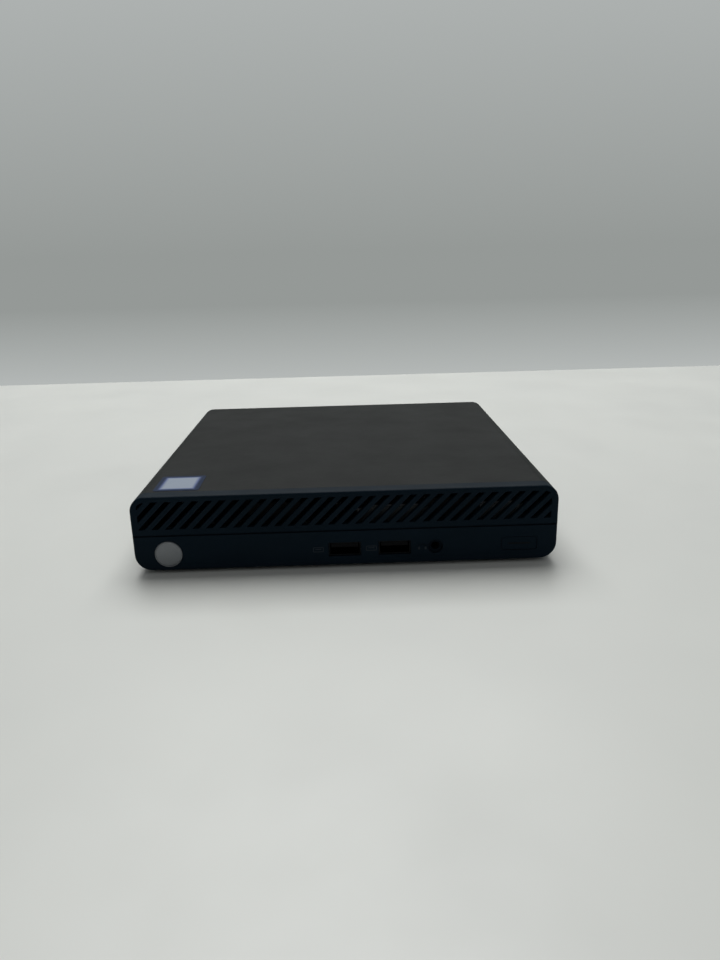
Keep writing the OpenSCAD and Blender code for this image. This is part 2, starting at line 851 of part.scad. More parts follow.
module fan_housing() color("#1c1e20")
    difference() {
        translate([0, 0, fin_z]) linear_extrude(fin_h - 1) scroll();
        translate([0, 0, fin_z + 1]) linear_extrude(fin_h) difference() {
            scroll(-housing_wall);
            // Corner that guides the air round to the fins
            translate([rotor_x + 15, rotor_y + 21]) square([20, 5]);
        }
        // Mouth towards the fins
        block([rotor_x - housing_w / 2 + 1 + housing_wall, fin_y0 - 3, fin_z + 1],
              [rotor_x + housing_w / 2 - 1 - housing_wall, fin_y0 + 1, fin_z + fin_h]);
        translate([rotor_x, rotor_y, 0]) cylinder(r = bush_r, h = body_h);
    }

module fan_lid() color("#222528")
    difference() {
        translate([0, 0, fin_z + fin_h - 1]) linear_extrude(1) scroll();
        translate([rotor_x, rotor_y, 0]) cylinder(r = inlet_r, h = body_h);
    }

module fan_bush() color("#b08d3c")
    translate([rotor_x, rotor_y, fin_z]) difference() {
        cylinder(r = bush_r, h = rotor_h - 3.5);
        translate([0, 0, -1]) cylinder(r = shaft_r + shaft_gap, h = rotor_h);
    }

module fan_stator() color("#9c5a2b")
    translate([rotor_x, rotor_y, fin_z + 2]) difference() {
        union() {
            cylinder(r = stator_core_r, h = stator_h);
            for (a = [0:90:270]) rotate([0, 0, a])
                translate([0, -stator_arm_w / 2, 0]) cube([stator_r, stator_arm_w, stator_h]);
        }
        translate([0, 0, -1]) cylinder(r = bush_r, h = stator_h + 3);
    }

module fan_rotor() color("#141618")
    translate([rotor_x, rotor_y, rotor_low_z]) {
        // Cup that turns round the stator
        difference() {
            cylinder(r = hub_r, h = rotor_h);
            translate([0, 0, -1]) cylinder(r = hub_r - 1.4, h = rotor_h - 1);
            cylinder(r = shaft_r, h = rotor_h - 1);
        }
        // Plate and rim that carry the blades
        translate([0, 0, 0.8]) difference() {
            cylinder(r = rotor_dia / 2, h = 1);
            translate([0, 0, -1]) cylinder(r = hub_r - 1, h = 3);
        }
        for (i = [0:blade_count - 1]) rotate([0, 0, i * 360 / blade_count]) blade();
    }

// A blade curved forward, from its inner edge to the rim
module blade() {
    bend = 2 * asin((blade_out - blade_in) / 2 / blade_bend_r);
    translate([(blade_in + blade_out) / 2, 0, 0]) rotate([0, 0, blade_tilt])
        translate([0, -blade_bend_r * cos(bend / 2), 0]) rotate([0, 0, 90 - bend / 2])
            rotate_extrude(angle = bend)
                translate([blade_bend_r - blade_t / 2, 0]) square([blade_t, rotor_h]);
}

module fan_shaft() color("#d0d3d5")
    translate([rotor_x, rotor_y, fin_z + 0.3]) cylinder(r = shaft_r, h = rotor_low_z + rotor_h - 1 - fin_z - 0.3);

module fan_plug() color("#e4e2da") {
    plug_x = cooler_x + cooler_w / 2 + 3.5;
    plug_y = rotor_y + 30;
    plug_h = 5;
    side_x = rotor_x + housing_w / 2 - 1;
    lead_low = fin_z + 0.1;
    lead_t = 0.8;
    pad(plug_x, plug_y, board_z, [4.5, 9, plug_h]);
    // Flat lead from the side of the blower
    translate([0, plug_y + 3, 0]) rotate([90, 0, 0]) linear_extrude(6) {
        translate([side_x, lead_low]) square([plug_x - side_x, lead_t]);
        translate([plug_x - lead_t, board_z + plug_h - eps])
            square([lead_t, lead_low + lead_t - board_z - plug_h + eps]);
    }
}

// ---------------------------------------------------------------- memory

module memory_sockets() color("#1b1d1f")
    for (i = [0, 1]) {
        height = memory_lift[i] + module_t + 1;
        difference() {
            pad(memory_x, memory_y[i], board_z, [memory_bar_l, memory_bar_d, height]);
            pad(memory_x, memory_y[i] + memory_bar_d / 2, board_z + memory_lift[i],
                [module_l, 2 * module_in, module_t]);
        }
        // Arms that hold the module's edges
        for (s = [-1, 1])
            pad(memory_x + s * (memory_bar_l - memory_arm_w) / 2,
                memory_y[i] + memory_bar_d / 2 + memory_arm_l / 2 - 0.1,
                board_z, [memory_arm_w, memory_arm_l, height]);
    }

module memory_modules() color("#1f5a3d")
    for (i = [0, 1])
        translate([memory_x - module_l / 2, memory_y[i] + memory_bar_d / 2 - module_in,
                   board_z + memory_lift[i]]) {
            difference() {
                cube([module_l, module_d, module_t]);
                // Key in the contact edge, and the notches that the arms hold
                translate([key_x - key_w / 2, -1, -1]) cube([key_w, key_d + 1, module_t + 2]);
                for (x = [0, module_l])
                    translate([x, module_d - 10, -1]) cylinder(r = 1.6, h = module_t + 2);
            }
            for (c = [0:3])
                translate([4 + c * (module_l - 8) / 4 + 1, chip_y, module_t - eps])
                    cube([(module_l - 8) / 4 - 2, chip_l, chip_t + eps]);
        }

// ---------------------------------------------------------------- drive

module drive_tray() color("#a7aaad") {
    difference() {
        pad(drive_x, drive_y0 + drive_l / 2, carrier_z, [carrier_w, drive_l, carrier_t]);
        // Lightening windows
        for (y = window_y)
            pad(drive_x, drive_y0 + y + window_l / 2, 0, [window_w, window_l, body_h]);
    }
    // Side rails beside the drive
    for (s = [-1, 1]) difference() {
        pad(drive_x + s * (carrier_w - carrier_t) / 2, drive_y0 + drive_l / 2, carrier_z,
            [carrier_t, drive_l, carrier_t + drive_t - 1]);
        for (y = drive_screw_y) translate([drive_x, drive_y0 + y, drive_z + drive_hole_z])
            rotate([0, 90, 0]) cylinder(r = 1.6, h = 2 * carrier_w, center = true);
    }
    // Legs down to the board
    for (s = [-1, 1], y = leg_y)
        pad(drive_x + s * (carrier_w / 2 - leg_w / 2), y, board_z, [leg_w, leg_l, carrier_t]);
    for (s = [-1, 1], y = leg_y)
        pad(drive_x + s * (carrier_w - carrier_t) / 2, y, board_z, [carrier_t, leg_l, drive_lift + eps]);
}

module storage_drive() color("#7d8083")
    difference() {
        union() {
            pad(drive_x, drive_y0 + drive_l / 2, drive_z, [drive_w, drive_l, drive_t - drive_lid_t]);
            // Pressed lid, set in from the edges
            translate([drive_x, drive_y0 + drive_l / 2, drive_z + drive_t - drive_lid_t - eps])
                linear_extrude(drive_lid_t + eps)
                    round_rect(drive_w - 2 * drive_lid_in, drive_l - 2 * drive_lid_in, 3);
        }
        // Recess of the data and power contacts
        block([drive_x + plug_shift - plug_w / 2 - fit, drive_y0 + drive_l - 4, drive_z + 1],
              [drive_x + plug_shift + plug_w / 2 + fit, drive_y0 + drive_l + 1, drive_z + 4.6]);
        for (s = [-1, 1], y = drive_screw_y)
            translate([drive_x + s * drive_w / 2, drive_y0 + y, drive_z + drive_hole_z])
                rotate([0, 90, 0]) cylinder(r = drive_hole_r, h = 2 * drive_hole_z, center = true);
    }

module drive_screws() color("#c4c7c9")
    for (s = [-1, 1], y = drive_screw_y)
        translate([drive_x + s * carrier_w / 2, drive_y0 + y, drive_z + drive_hole_z])
            rotate([0, s * 90, 0]) screw(2.4, 1, drive_hole_r - touch, drive_screw_l);

module drive_plug() color("#1a1c1e")
    block([drive_x + plug_shift - plug_w / 2, drive_y0 + drive_l - 3.8, drive_z + 1.2],
          [drive_x + plug_shift + plug_w / 2, drive_y0 + drive_l + plug_out, drive_z + 4.4]);

module drive_ribbon() color("#c98f3c") {
    strip_y = drive_y0 + drive_l + 0.8;
    low = board_z + header_h;
    block([drive_x - ribbon_w / 2, strip_y, low - eps],
          [drive_x + ribbon_w / 2, strip_y + ribbon_t, drive_z + 1.2]);
    // Header that the strip ends in, on the board
    block([drive_x - ribbon_w / 2 - 1, strip_y - 1, board_z],
          [drive_x + ribbon_w / 2 + 1, strip_y + ribbon_t + 0.4, low]);
}

// ---------------------------------------------------------------- cards and antennas

module wireless_socket() color("#1b1d1f") {
    difference() {
        pad(card_x - card_l / 2, card_y, board_z,
            [card_socket_d, card_w + 2, card_socket_h]);
        block([card_x - card_l / 2, card_y - card_w / 2, card_z],
              [card_x, card_y + card_w / 2, card_z + card_t]);
    }
    // Post under the card's free end
    translate([card_x + card_l / 2 - 2.5, card_y, board_z]) cylinder(r = 2.2, h = card_z - board_z);
}

module wireless_card() color("#22603f") {
    difference() {
        pad(card_x, card_y, card_z, [card_l, card_w, card_t]);
        translate([card_x + card_l / 2, card_y, card_z - 1]) cylinder(r = 1.8, h = 4);
    }
    // Shielding can and the two antenna sockets
    pad(card_x + 1, card_y, card_z + card_t - eps, [can_l, can_w, can_h]);
    for (y = card_jack_y) translate([card_jack_x, y, card_z + card_t - eps])
        cylinder(r = 1.1, h = card_jack_h + eps);
}

module antennas() color("#202326")
    for (x = antenna_x)
        block([x - antenna_w / 2, antenna_y, antenna_z],
              [x + antenna_w / 2, antenna_y + antenna_t, antenna_z + antenna_h]);

// A straight rod from p to q
module rod(p, q, r) {
    d = q - p;
    translate(p) rotate([0, acos(d[2] / norm(d)), atan2(d[1], d[0])]) cylinder(r = r, h = norm(d));
}

module lead(points) {
    for (i = [0:len(points) - 2]) rod(points[i], points[i + 1], lead_r);
    for (i = [1:len(points) - 2]) translate(points[i]) sphere(r = bend_r);
}

module antenna_leads() color("#0e0f10")
    for (i = [0, 1]) {
        x = card_jack_x;
        y = card_jack_y[i];
        z = card_z + card_t + card_jack_h;
        lead([[x, y, z], [x, y, lead_z[i]], [lead_x[i], y, lead_z[i]], [lead_x[i], lead_y, lead_z[i]],
              [antenna_x[i], lead_y, lead_z[i]], [antenna_x[i], lead_y, antenna_z + 3],
              [antenna_x[i], antenna_y + antenna_t, antenna_z + 3]]);
    }

module coin_cell_holder() color("#1d1f21")
    difference() {
        translate([cell_x, cell_y, board_z]) cylinder(r = cell_r + cell_wall, h = cell_t + 1);
        translate([cell_x, cell_y, board_z + 1]) cylinder(r = cell_r + touch, h = cell_t + 2);
        // Notch to lift the cell out
        pad(cell_x, cell_y - cell_r, board_z + 1, [0.7 * cell_r, cell_r / 2, cell_t + 2]);
    }

module coin_cell() color("#c9cccf")
    translate([cell_x, cell_y, board_z + 1]) {
        cylinder(r = cell_r, h = cell_t - 0.4);
        cylinder(r = cell_r - 1.2, h = cell_t);
    }

module chipset() color("#2c4a3d") {
    pad(chipset_x, chipset_y, board_z, [chipset_size, chipset_size, chipset_t / 2]);
    pad(chipset_x, chipset_y, board_z + chipset_t / 2 - eps,
        [chipset_die, chipset_die, chipset_t / 2 + eps]);
}

module chipset_cooler() color("#3f6fa0")
    translate([chipset_x, chipset_y, board_z + chipset_t]) {
        pad(0, 0, 0, [chipset_cooler_size, chipset_cooler_size, chipset_base_t]);
        for (i = [-4:4]) pad(i * chipset_cooler_size / 8.7, 0, chipset_base_t - eps,
                             [0.8, chipset_cooler_size, chipset_fin_h + eps]);
    }

module power_chokes() color("#3b3d3f")
    for (i = [0:choke_count - 1])
        translate([cooler_x + (i - (choke_count - 1) / 2) * (choke_size + 2), choke_y, board_z])
            linear_extrude(choke_t) round_rect(choke_size, choke_size, 1);

module capacitors() color("#b9bcbe")
    for (x = cap_x, y = cap_y) translate([x, y, board_z]) {
        pad(0, 0, 0, [cap_d + 0.3, cap_d + 0.3, 0.8]);
        translate([0, 0, 0.8 - eps]) cylinder(d = cap_d, h = cap_h);
    }

// ---------------------------------------------------------------- rear ports

module rear_usb_shells() color("#b4b7ba")
    for (x = usb_rear_x) difference() {
        pad(x, port_out_y - usb_rear_l / 2, board_z,
            [usb_outer_w, usb_rear_l, usb_rear_pitch + usb_outer_h]);
        for (i = [0, 1])
            pad(x, port_out_y, board_z + shell_t + i * usb_rear_pitch,
                [usb_w, 2 * (usb_rear_l - 2), usb_h]);
    }

module rear_usb_tongues() color("#1c4f8f")
    for (x = usb_rear_x, i = [0, 1])
        pad(x, port_out_y - usb_rear_l / 2,
            board_z + usb_outer_h / 2 + tongue_rise - tongue_t / 2 + i * usb_rear_pitch,
            [tongue_w, usb_rear_l - 4, tongue_t]);

module network_jack() color("#aeb1b4")
    difference() {
        pad(net_x, port_out_y - net_l / 2, board_z, [net_w, net_l, net_h]);
        pad(net_x, port_out_y, board_z + net_foot, [net_hole[0], 2 * net_hole[2], net_hole[1]]);
        // Step for the plug's latch
        pad(net_x, port_out_y, board_z + net_foot - 1.4, [5, 2 * (net_hole[2] - 3), 2]);
    }

module network_contacts() color("#c9a94a")
    for (i = [0:7])
        pad(net_x + (i - 3.5) * 1.02, port_out_y - net_hole[2] / 2 - 1,
            board_z + net_foot + net_hole[1] - 1, [0.4, net_hole[2] - 3, 1]);

// Outline of a display connector, drawn in X and Z, with its lower corners cut
module video_outline(grow = 0) {
    w = video_w / 2 + grow;
    h = video_h / 2 + grow;
    cut = 1.8;
    polygon([[-w, h], [-w, -h + cut], [-w + cut, -h], [w - cut, -h], [w, -h + cut], [w, h]]);
}

module video_shells() color("#b4b7ba")
    for (x = video_x) {
        difference() {
            along_y(port_out_y - video_l, port_out_y)
                translate([x, board_z + video_lift + video_h / 2]) video_outline();
            along_y(port_out_y - video_l + 2, port_out_y + 1)
                translate([x, board_z + video_lift + video_h / 2]) video_outline(-shell_t);
        }
        // Foot that stands the shell off the board
        pad(x, port_out_y - video_l / 2 - 2, board_z, [video_w - 5, video_l - 4, video_lift]);
    }

module video_tongues() color("#17191b")
    for (x = video_x)
        pad(x, port_out_y - video_l / 2, board_z + video_lift + video_h / 2 - 0.7,
            [video_w - 4.5, video_l - 4, 1.4]);

module power_inlet() color("#15171a")
    difference() {
        pad(inlet_x, port_out_y - inlet_l / 2, board_z, [inlet_w, inlet_l, inlet_h]);
        translate([inlet_x, port_out_y - inlet_deep, board_z + inlet_h / 2]) rotate([-90, 0, 0])
            cylinder(d = inlet_bore, h = inlet_deep + 1);
    }

module power_inlet_pin() color("#c9cccf")
    translate([inlet_x, port_out_y - inlet_deep, board_z + inlet_h / 2]) rotate([-90, 0, 0])
        cylinder(d = inlet_pin, h = inlet_deep - 1);

module port_blank() color("#2b2e31") {
    pad(blank_x, panel_y - 0.4, board_z, [blank_w, 1.2, blank_h]);
    pad(blank_x, panel_in_y - 0.5, board_z, [blank_w + 2, 1, blank_h + 1]);
}

module thumbscrew() color("#c4c7c9")
    translate([screw_x, panel_y, screw_z]) rotate([-90, 0, 0]) {
        translate([0, 0, touch]) linear_extrude(screw_head_t) difference() {
            circle(screw_head_r);
            for (a = [0:18:342]) rotate(a) translate([screw_head_r + 0.15, 0]) circle(0.4);
            square([5, 0.9], center = true);
        }
        translate([0, 0, -skin - 5.5]) cylinder(r = screw_r, h = skin + 5.6);
        // Collar that keeps the screw in the panel
        translate([0, 0, -skin - touch - 0.8]) cylinder(r = 2.3, h = 0.8);
    }

top_cover();
upper_bezel();
lower_bezel();
badge();
power_button();
button_light_guide();
base_tray();
rear_panel();
rear_rivets();
rubber_feet();
mount_inserts();
board_posts();
main_board();
board_screws();
power_switch();
switch_plunger();
front_usb_shells();
front_usb_tongues();
headset_jack();
speaker();
processor_socket();
processor();
cooler();
cooler_screws();
fan_housing();
fan_lid();
fan_bush();
fan_stator();
fan_rotor();
fan_shaft();
fan_plug();
memory_sockets();
memory_modules();
drive_tray();
storage_drive();
drive_screws();
drive_plug();
drive_ribbon();
wireless_socket();
wireless_card();
antennas();
antenna_leads();
coin_cell_holder();
coin_cell();
chipset();
chipset_cooler();
power_chokes();
capacitors();
rear_usb_shells();
rear_usb_tongues();
network_jack();
network_contacts();
video_shells();
video_tongues();
power_inlet();
power_inlet_pin();
port_blank();
thumbscrew();
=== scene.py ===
# %% [markdown]
# # A small desktop computer, finished and set on a table
#
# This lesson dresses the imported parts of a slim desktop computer. The parts come in as a
# fixed frame, in metres: +X to the right seen from the front, +Y to the back and +Z up.
# Each step says what the real piece or finish is, how it could be made in Blender, and why
# this way was chosen.

import math
import random

import bmesh
import bpy
from mathutils import Matrix, Vector


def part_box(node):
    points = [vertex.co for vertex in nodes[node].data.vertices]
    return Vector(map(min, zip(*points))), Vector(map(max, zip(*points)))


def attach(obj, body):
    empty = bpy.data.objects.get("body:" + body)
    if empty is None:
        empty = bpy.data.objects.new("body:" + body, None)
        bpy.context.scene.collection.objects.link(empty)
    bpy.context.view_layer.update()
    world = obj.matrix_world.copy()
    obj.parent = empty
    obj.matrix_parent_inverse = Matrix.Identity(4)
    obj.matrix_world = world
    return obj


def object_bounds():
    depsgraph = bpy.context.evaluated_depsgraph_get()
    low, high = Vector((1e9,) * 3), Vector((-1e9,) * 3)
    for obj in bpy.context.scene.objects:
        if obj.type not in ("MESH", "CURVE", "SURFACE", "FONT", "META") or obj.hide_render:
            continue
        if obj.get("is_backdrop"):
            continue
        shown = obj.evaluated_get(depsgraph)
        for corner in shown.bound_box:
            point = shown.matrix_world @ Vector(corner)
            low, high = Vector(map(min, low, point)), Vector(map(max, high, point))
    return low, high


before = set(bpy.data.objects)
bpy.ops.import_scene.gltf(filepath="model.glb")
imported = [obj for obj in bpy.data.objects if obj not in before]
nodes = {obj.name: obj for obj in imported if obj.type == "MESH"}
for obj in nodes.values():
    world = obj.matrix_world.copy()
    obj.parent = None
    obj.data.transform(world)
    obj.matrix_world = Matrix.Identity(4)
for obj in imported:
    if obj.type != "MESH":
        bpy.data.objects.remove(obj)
cad_low, cad_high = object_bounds()
MM = 0.001
size_mm = [round((high - low) / MM, 1) for low, high in zip(cad_low, cad_high)]
print("frame:", len(nodes), "parts, body", size_mm, "mm")

# %% [markdown]
# ## Camera
#
# The camera stands a forearm's length in front of the computer, a little above it, and looks
# down on it. Its place is given directly, and its turn is built from three simple turns: the
# lean downwards, the swing to the right and a slight tilt of the horizon. An aim constraint
# would be shorter, but it couldn't tilt the horizon.

# %% Camera
lens = bpy.data.cameras.new("camera")
lens.lens = 27.49
lens.sensor_width = 36
camera = bpy.data.objects.new("camera", lens)
bpy.context.scene.collection.objects.link(camera)
bpy.context.scene.camera = camera
camera_place = (0.00134, -0.37204, 0.12765)
swing, lean, tilt = math.radians(1.01), math.radians(17.35), math.radians(-1.45)
camera.matrix_world = (
    Matrix.Translation(camera_place)
    @ Matrix.Rotation(-swing, 4, "Z")
    @ Matrix.Rotation(math.pi / 2 - lean, 4, "X")
    @ Matrix.Rotation(tilt, 4, "Z")
)
bpy.context.scene.view_settings.view_transform = "Standard"
print("camera: lens", round(lens.lens, 2), "mm")

# %% [markdown]
# ## Helpers for materials
#
# Every finish is a node tree, and every tree needs the same few moves, so they are written
# once. `colour` turns an sRGB hex value into the linear numbers that shaders work with.
# `Finish` holds a material while it is made: it starts with the object's own coordinates and
# with edges that read as slightly rounded, and its steps add mottling, grain and wear on top
# of each other. A ready-made texture picture would tie the finish to one mesh; a
# node tree stays sharp at any distance and takes its scale straight from millimetres.

# %% Colours
def colour(code):
    """The linear RGBA of an sRGB hex value such as #15181B."""
    parts = [int(code[i : i + 2], 16) / 255 for i in (1, 3, 5)]
    return [c / 12.92 if c <= 0.04045 else ((c + 0.055) / 1.055) ** 2.4 for c in parts] + [1]


# %% A finish and its steps
class Finish:
    """A material while it is made."""

    def __init__(self, name, base, roughness, edge_mm=0.25, metallic=0.0, specular=0.5,
                 constants=None):
        self.material = bpy.data.materials.new(name)
        self.material.use_nodes = True
        self.tree = self.material.node_tree
        self.shader = self.tree.nodes["Principled BSDF"]
        self.place = self.node("TexCoord").outputs["Object"]
        self.colour = colour(base)
        self.roughness = roughness
        self.metallic = metallic
        self.normal = None
        if edge_mm:
            self.normal = self.node("Bevel", {"Radius": edge_mm * MM}, samples=4)
        for socket, value in {"Specular IOR Level": specular, **(constants or {})}.items():
            self.feed(self.shader.inputs[socket], value)

    def feed(self, socket, value):
        """Links a node or an output to a socket, or sets the socket's value."""
        if isinstance(value, bpy.types.Node):
            value = next(output for output in value.outputs if output.enabled)
        if isinstance(value, bpy.types.NodeSocket):
            self.tree.links.new(value, socket)
        elif value is not None:
            socket.default_value = value

    def node(self, kind, inputs=(), **settings):
        """Adds a node with its settings. Inputs come in the node's order, or named."""
        made = self.tree.nodes.new("ShaderNode" + kind)
        for name, value in settings.items():
            setattr(made, name, value)
        for name, value in inputs.items() if isinstance(inputs, dict) else enumerate(inputs):
            self.feed(made.inputs[name], value)
        return made

    def centred(self, centre, stretch=(1, 1, 1)):
        """The object's coordinates counted from a point, and stretched."""
        shift = [-c * s for c, s in zip(centre, stretch)]
        return self.node("Mapping", {"Vector": self.place, "Location": shift, "Scale": stretch})

    def spoke(self, centre, across):
        """The distance from an axis, where across picks the two directions beside it."""
        return self.node("VectorMath", [self.centred(centre, across)], operation="LENGTH")

    def depth(self, centre, half):
        """How deep a point lies inside a box, with less than 0 outside it."""
        away = self.node("VectorMath", [self.centred(centre)], operation="ABSOLUTE")
        room = self.node("VectorMath", [half, away], operation="SUBTRACT")
        sides = self.node("SeparateXYZ", [room]).outputs
        least = self.node("Math", [sides["X"], sides["Y"]], operation="MINIMUM")
        return self.node("Math", [least, sides["Z"]], operation="MINIMUM")

    def patches(self, size_mm, detail=2.0, stretch=(1, 1, 1)):
        """Soft random patches of a real size, from 0 to 1."""
        return self.node("TexNoise", {"Vector": self.centred((0, 0, 0), stretch),
                                      "Scale": 1 / (size_mm * MM), "Detail": detail,
                                      "Roughness": 0.55})

    def blend(self, share, other):
        """Paints another colour over the finish, as much as share says."""
        other = colour(other) if isinstance(other, str) else other
        self.colour = self.node("Mix", {0: share, 6: self.colour, 7: other}, data_type="RGBA")
        return self

    def mottle(self, other, size_mm, most=1.0, stretch=(1, 1, 1)):
        """Lets the colour drift towards another one in soft patches."""
        patches = self.patches(size_mm, 3.0, stretch)
        return self.blend(self.node("MapRange", [patches, 0.35, 0.7, 0.0, most]), other)

    def patchy(self, low, high, size_mm, stretch=(1, 1, 1)):
        """Lets the roughness drift between two values."""
        patches = self.patches(size_mm, 4.0, stretch)
        self.roughness = self.node("MapRange", [patches, 0.3, 0.7, low, high])
        return self

    def bump(self, height, depth_mm):
        """Raises the surface by a pattern."""
        self.normal = self.node("Bump", {"Height": height, "Distance": depth_mm * MM,
                                         "Normal": self.normal})
        return self

    def grain(self, size_mm, depth_mm, stretch=(1, 1, 1), detail=2.0):
        """Raises the surface by a fine random grain."""
        return self.bump(self.patches(size_mm, detail, stretch), depth_mm)

    def worn(self, bare, width_mm, most=0.5, breakup_mm=4.0):
        """Lets a barer colour show in broken stretches along the edges."""
        rounded = self.node("Bevel", {"Radius": width_mm * MM}, samples=4)
        straight = self.node("NewGeometry").outputs["Normal"]
        facing = self.node("VectorMath", [rounded, straight], operation="DOT_PRODUCT")
        edge = self.node("MapRange", [facing, 0.98, 0.75])
        broken = self.node("MapRange", [self.patches(breakup_mm, 4.0), 0.42, 0.62, 0.0, most])
        return self.blend(self.node("Math", [edge, broken], operation="MULTIPLY"), bare)

    def done(self):
        """Wires what the steps made to the shader."""
        for name, value in (("Base Color", self.colour), ("Roughness", self.roughness),
                            ("Metallic", self.metallic), ("Normal", self.normal)):
            self.feed(self.shader.inputs[name], value)
        return self.material


# %% Dressing the parts of the frame
def dress(finish, *names):
    """Gives a finish to parts of the frame."""
    for name in names:
        nodes[name].data.materials.clear()
        nodes[name].data.materials.append(finish)
    print(finish.name, "->", ", ".join(names))


# %% [markdown]
# ## Table, wall and lamps
#
# The computer stands on a white laminate table in front of a plain grey wall. A flat sheet
# for each is enough, because nothing of them shows but their tone: the table keeps the soft
# shadow, and the wall is told its tone directly, brighter where the table's light reaches it,
# so that the light on the computer doesn't depend on it. One broad lamp overhead towards the
# back and a weak one in front give the soft light of a room.

# %% Table and wall
def sheet(name, corners):
    """A flat sheet that belongs to the studio."""
    mesh = bpy.data.meshes.new(name)
    shape = bmesh.new()
    shape.faces.new([shape.verts.new(corner) for corner in corners])
    bmesh.ops.recalc_face_normals(shape, faces=shape.faces)
    shape.to_mesh(mesh)
    shape.free()
    made = bpy.data.objects.new(name, mesh)
    bpy.context.scene.collection.objects.link(made)
    made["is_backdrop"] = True
    return made


table_back, wall_y = 0.412, 1.6
table = sheet("table", [(-3, -3, 0), (3, -3, 0), (3, table_back, 0), (-3, table_back, 0)])
wall = sheet("wall", [(-4, wall_y, -2), (4, wall_y, -2), (4, wall_y, 3), (-4, wall_y, 3)])

# White laminate: satin, with faint wiped patches.
laminate = Finish("White laminate, satin", "#D0D2CD", 0.42, edge_mm=0)
laminate.mottle("#C9CBC7", 130, 0.6).patchy(0.36, 0.5, 60)
table.data.materials.append(laminate.done())

# Grey wall paint: matt, shown at the tone it has in the room, which is painted light: the colour
# grows lighter towards the top and lighter again below the table's level, and camera and glossy
# rays see it glow through an emission.
paint = Finish("Wall paint, matt grey", "#959997", 0.9, edge_mm=0)
height = paint.node("SeparateXYZ", [paint.place]).outputs["Z"]
paint.blend(paint.node("MapRange", [height, 0.13, 0.75]), "#AFB3B2")
paint.blend(paint.node("MapRange", [height, 0.0, -0.28]), "#BFC3C2")
# Painted light: the wall glows with its painted lit tone.
painted_wall_light = paint.node("Emission", {"Color": paint.colour})
path = paint.node("LightPath").outputs
shown = paint.node("Math", [path["Is Camera Ray"], path["Is Glossy Ray"]], operation="MAXIMUM")
mixed = paint.node("MixShader", [shown, paint.shader, painted_wall_light])
paint.feed(paint.tree.nodes["Material Output"].inputs["Surface"], mixed)
wall.data.materials.append(paint.done())
print("studio sheets:", table.name, "and", wall.name)

# %% Lamps
def lamp(name, place, aim, size, watts):
    """A square soft lamp that points at a spot."""
    light = bpy.data.lights.new(name, "AREA")
    light.size, light.energy = size, watts
    made = bpy.data.objects.new(name, light)
    made.location = place
    made.rotation_euler = (Vector(aim) - Vector(place)).to_track_quat("-Z", "Y").to_euler()
    bpy.context.scene.collection.objects.link(made)
    return made


lamp("ceiling_lamp", (-0.05, 0.7, 1.45), (0, 0, 0), 1.3, 27)
lamp("fill_lamp", (0.5, -1.3, 1.2), (0, 0, 0), 1.2, 1.5)
world = bpy.data.worlds.new("room")
world.use_nodes = True
world.node_tree.nodes["Background"].inputs["Color"].default_value = colour("#B4B6B8")
world.node_tree.nodes["Background"].inputs["Strength"].default_value = 0.42
bpy.context.scene.world = world
print("lit by 2 lamps and the", world.name)

# %% [markdown]
# ## Black case: powder coat and moulded plastic
#
# The cover and the tray are folded steel with a black powder coat, which cures to a fine
# leathery skin. The two front mouldings are ABS from a spark-eroded mould, a shade bluer and
# duller. Both are almost black, so what tells them apart is how they break up the light:
# the coat has a coarser, softer grain and bare metal at rubbed edges, the plastic a finer one.

# %% Powder coat on the cover
# A coat's grain is about 0.4 mm across, too fine to show from here, so it is drawn at 0.8 mm.
coat = Finish("Powder-coated steel, black", "#060908", 0.52, edge_mm=0.35, specular=0.08)
coat.mottle("#0A0E0D", 45, 0.8).patchy(0.44, 0.56, 30)
coat.grain(0.8, 0.035).grain(2.6, 0.03).worn("#35393B", 0.35, 0.45, 6)
dress(coat.done(), "top_cover")

# %% Tray: coated outside, bare zinc inside
# The sheet is galvanised first and coated on the outside only, so the side that faces the
# boards keeps the pale grey of zinc with its faint crystals, 6 mm across.
tray = Finish("Galvanised steel, coated black outside", "#A3A7A9", 0.42, edge_mm=0.3)
crystals = tray.node("TexVoronoi", {"Vector": tray.place, "Scale": 1 / (6 * MM)})
tray.blend(tray.node("MapRange", [crystals.outputs["Color"], 0, 1, 0, 0.5]), "#8D9294")
facing = tray.node("NewGeometry").outputs["Normal"]
outward = tray.node("VectorMath", [tray.centred((0, 0, cad_high.z / 2)), facing],
                    operation="DOT_PRODUCT")
coated = tray.node("Math", [outward, 0.5 * MM], operation="GREATER_THAN")
tray.blend(coated, "#15171A")
tray.metallic = tray.node("Math", [1.0, coated], operation="SUBTRACT")
tray.grain(0.9, 0.02)
dress(tray.done(), "base_tray")

# %% Front mouldings and button
# Spark erosion leaves pits of 0.3 mm; they are drawn at 0.7 mm so that they show.
abs_plastic = Finish("ABS, moulded, spark-eroded texture", "#0A1720", 0.5, edge_mm=0.2,
                     specular=0.05)
abs_plastic.mottle("#0C1A24", 25, 0.8).patchy(0.46, 0.56, 18).grain(0.7, 0.02)
abs_plastic.worn("#14181D", 0.25, 0.4, 5)
dress(abs_plastic.done(), "upper_bezel", "lower_bezel", "power_button")

# %% Light guide in the button
# Clear polycarbonate over a dark lamp: a darker, shinier bar while the computer is off.
guide = Finish("Polycarbonate, clear over a dark lamp", "#060C11", 0.34, edge_mm=0.05,
               specular=0.08)
guide.mottle("#0A1116", 3, 0.7).grain(0.9, 0.004)
dress(guide.done(), "button_light_guide")

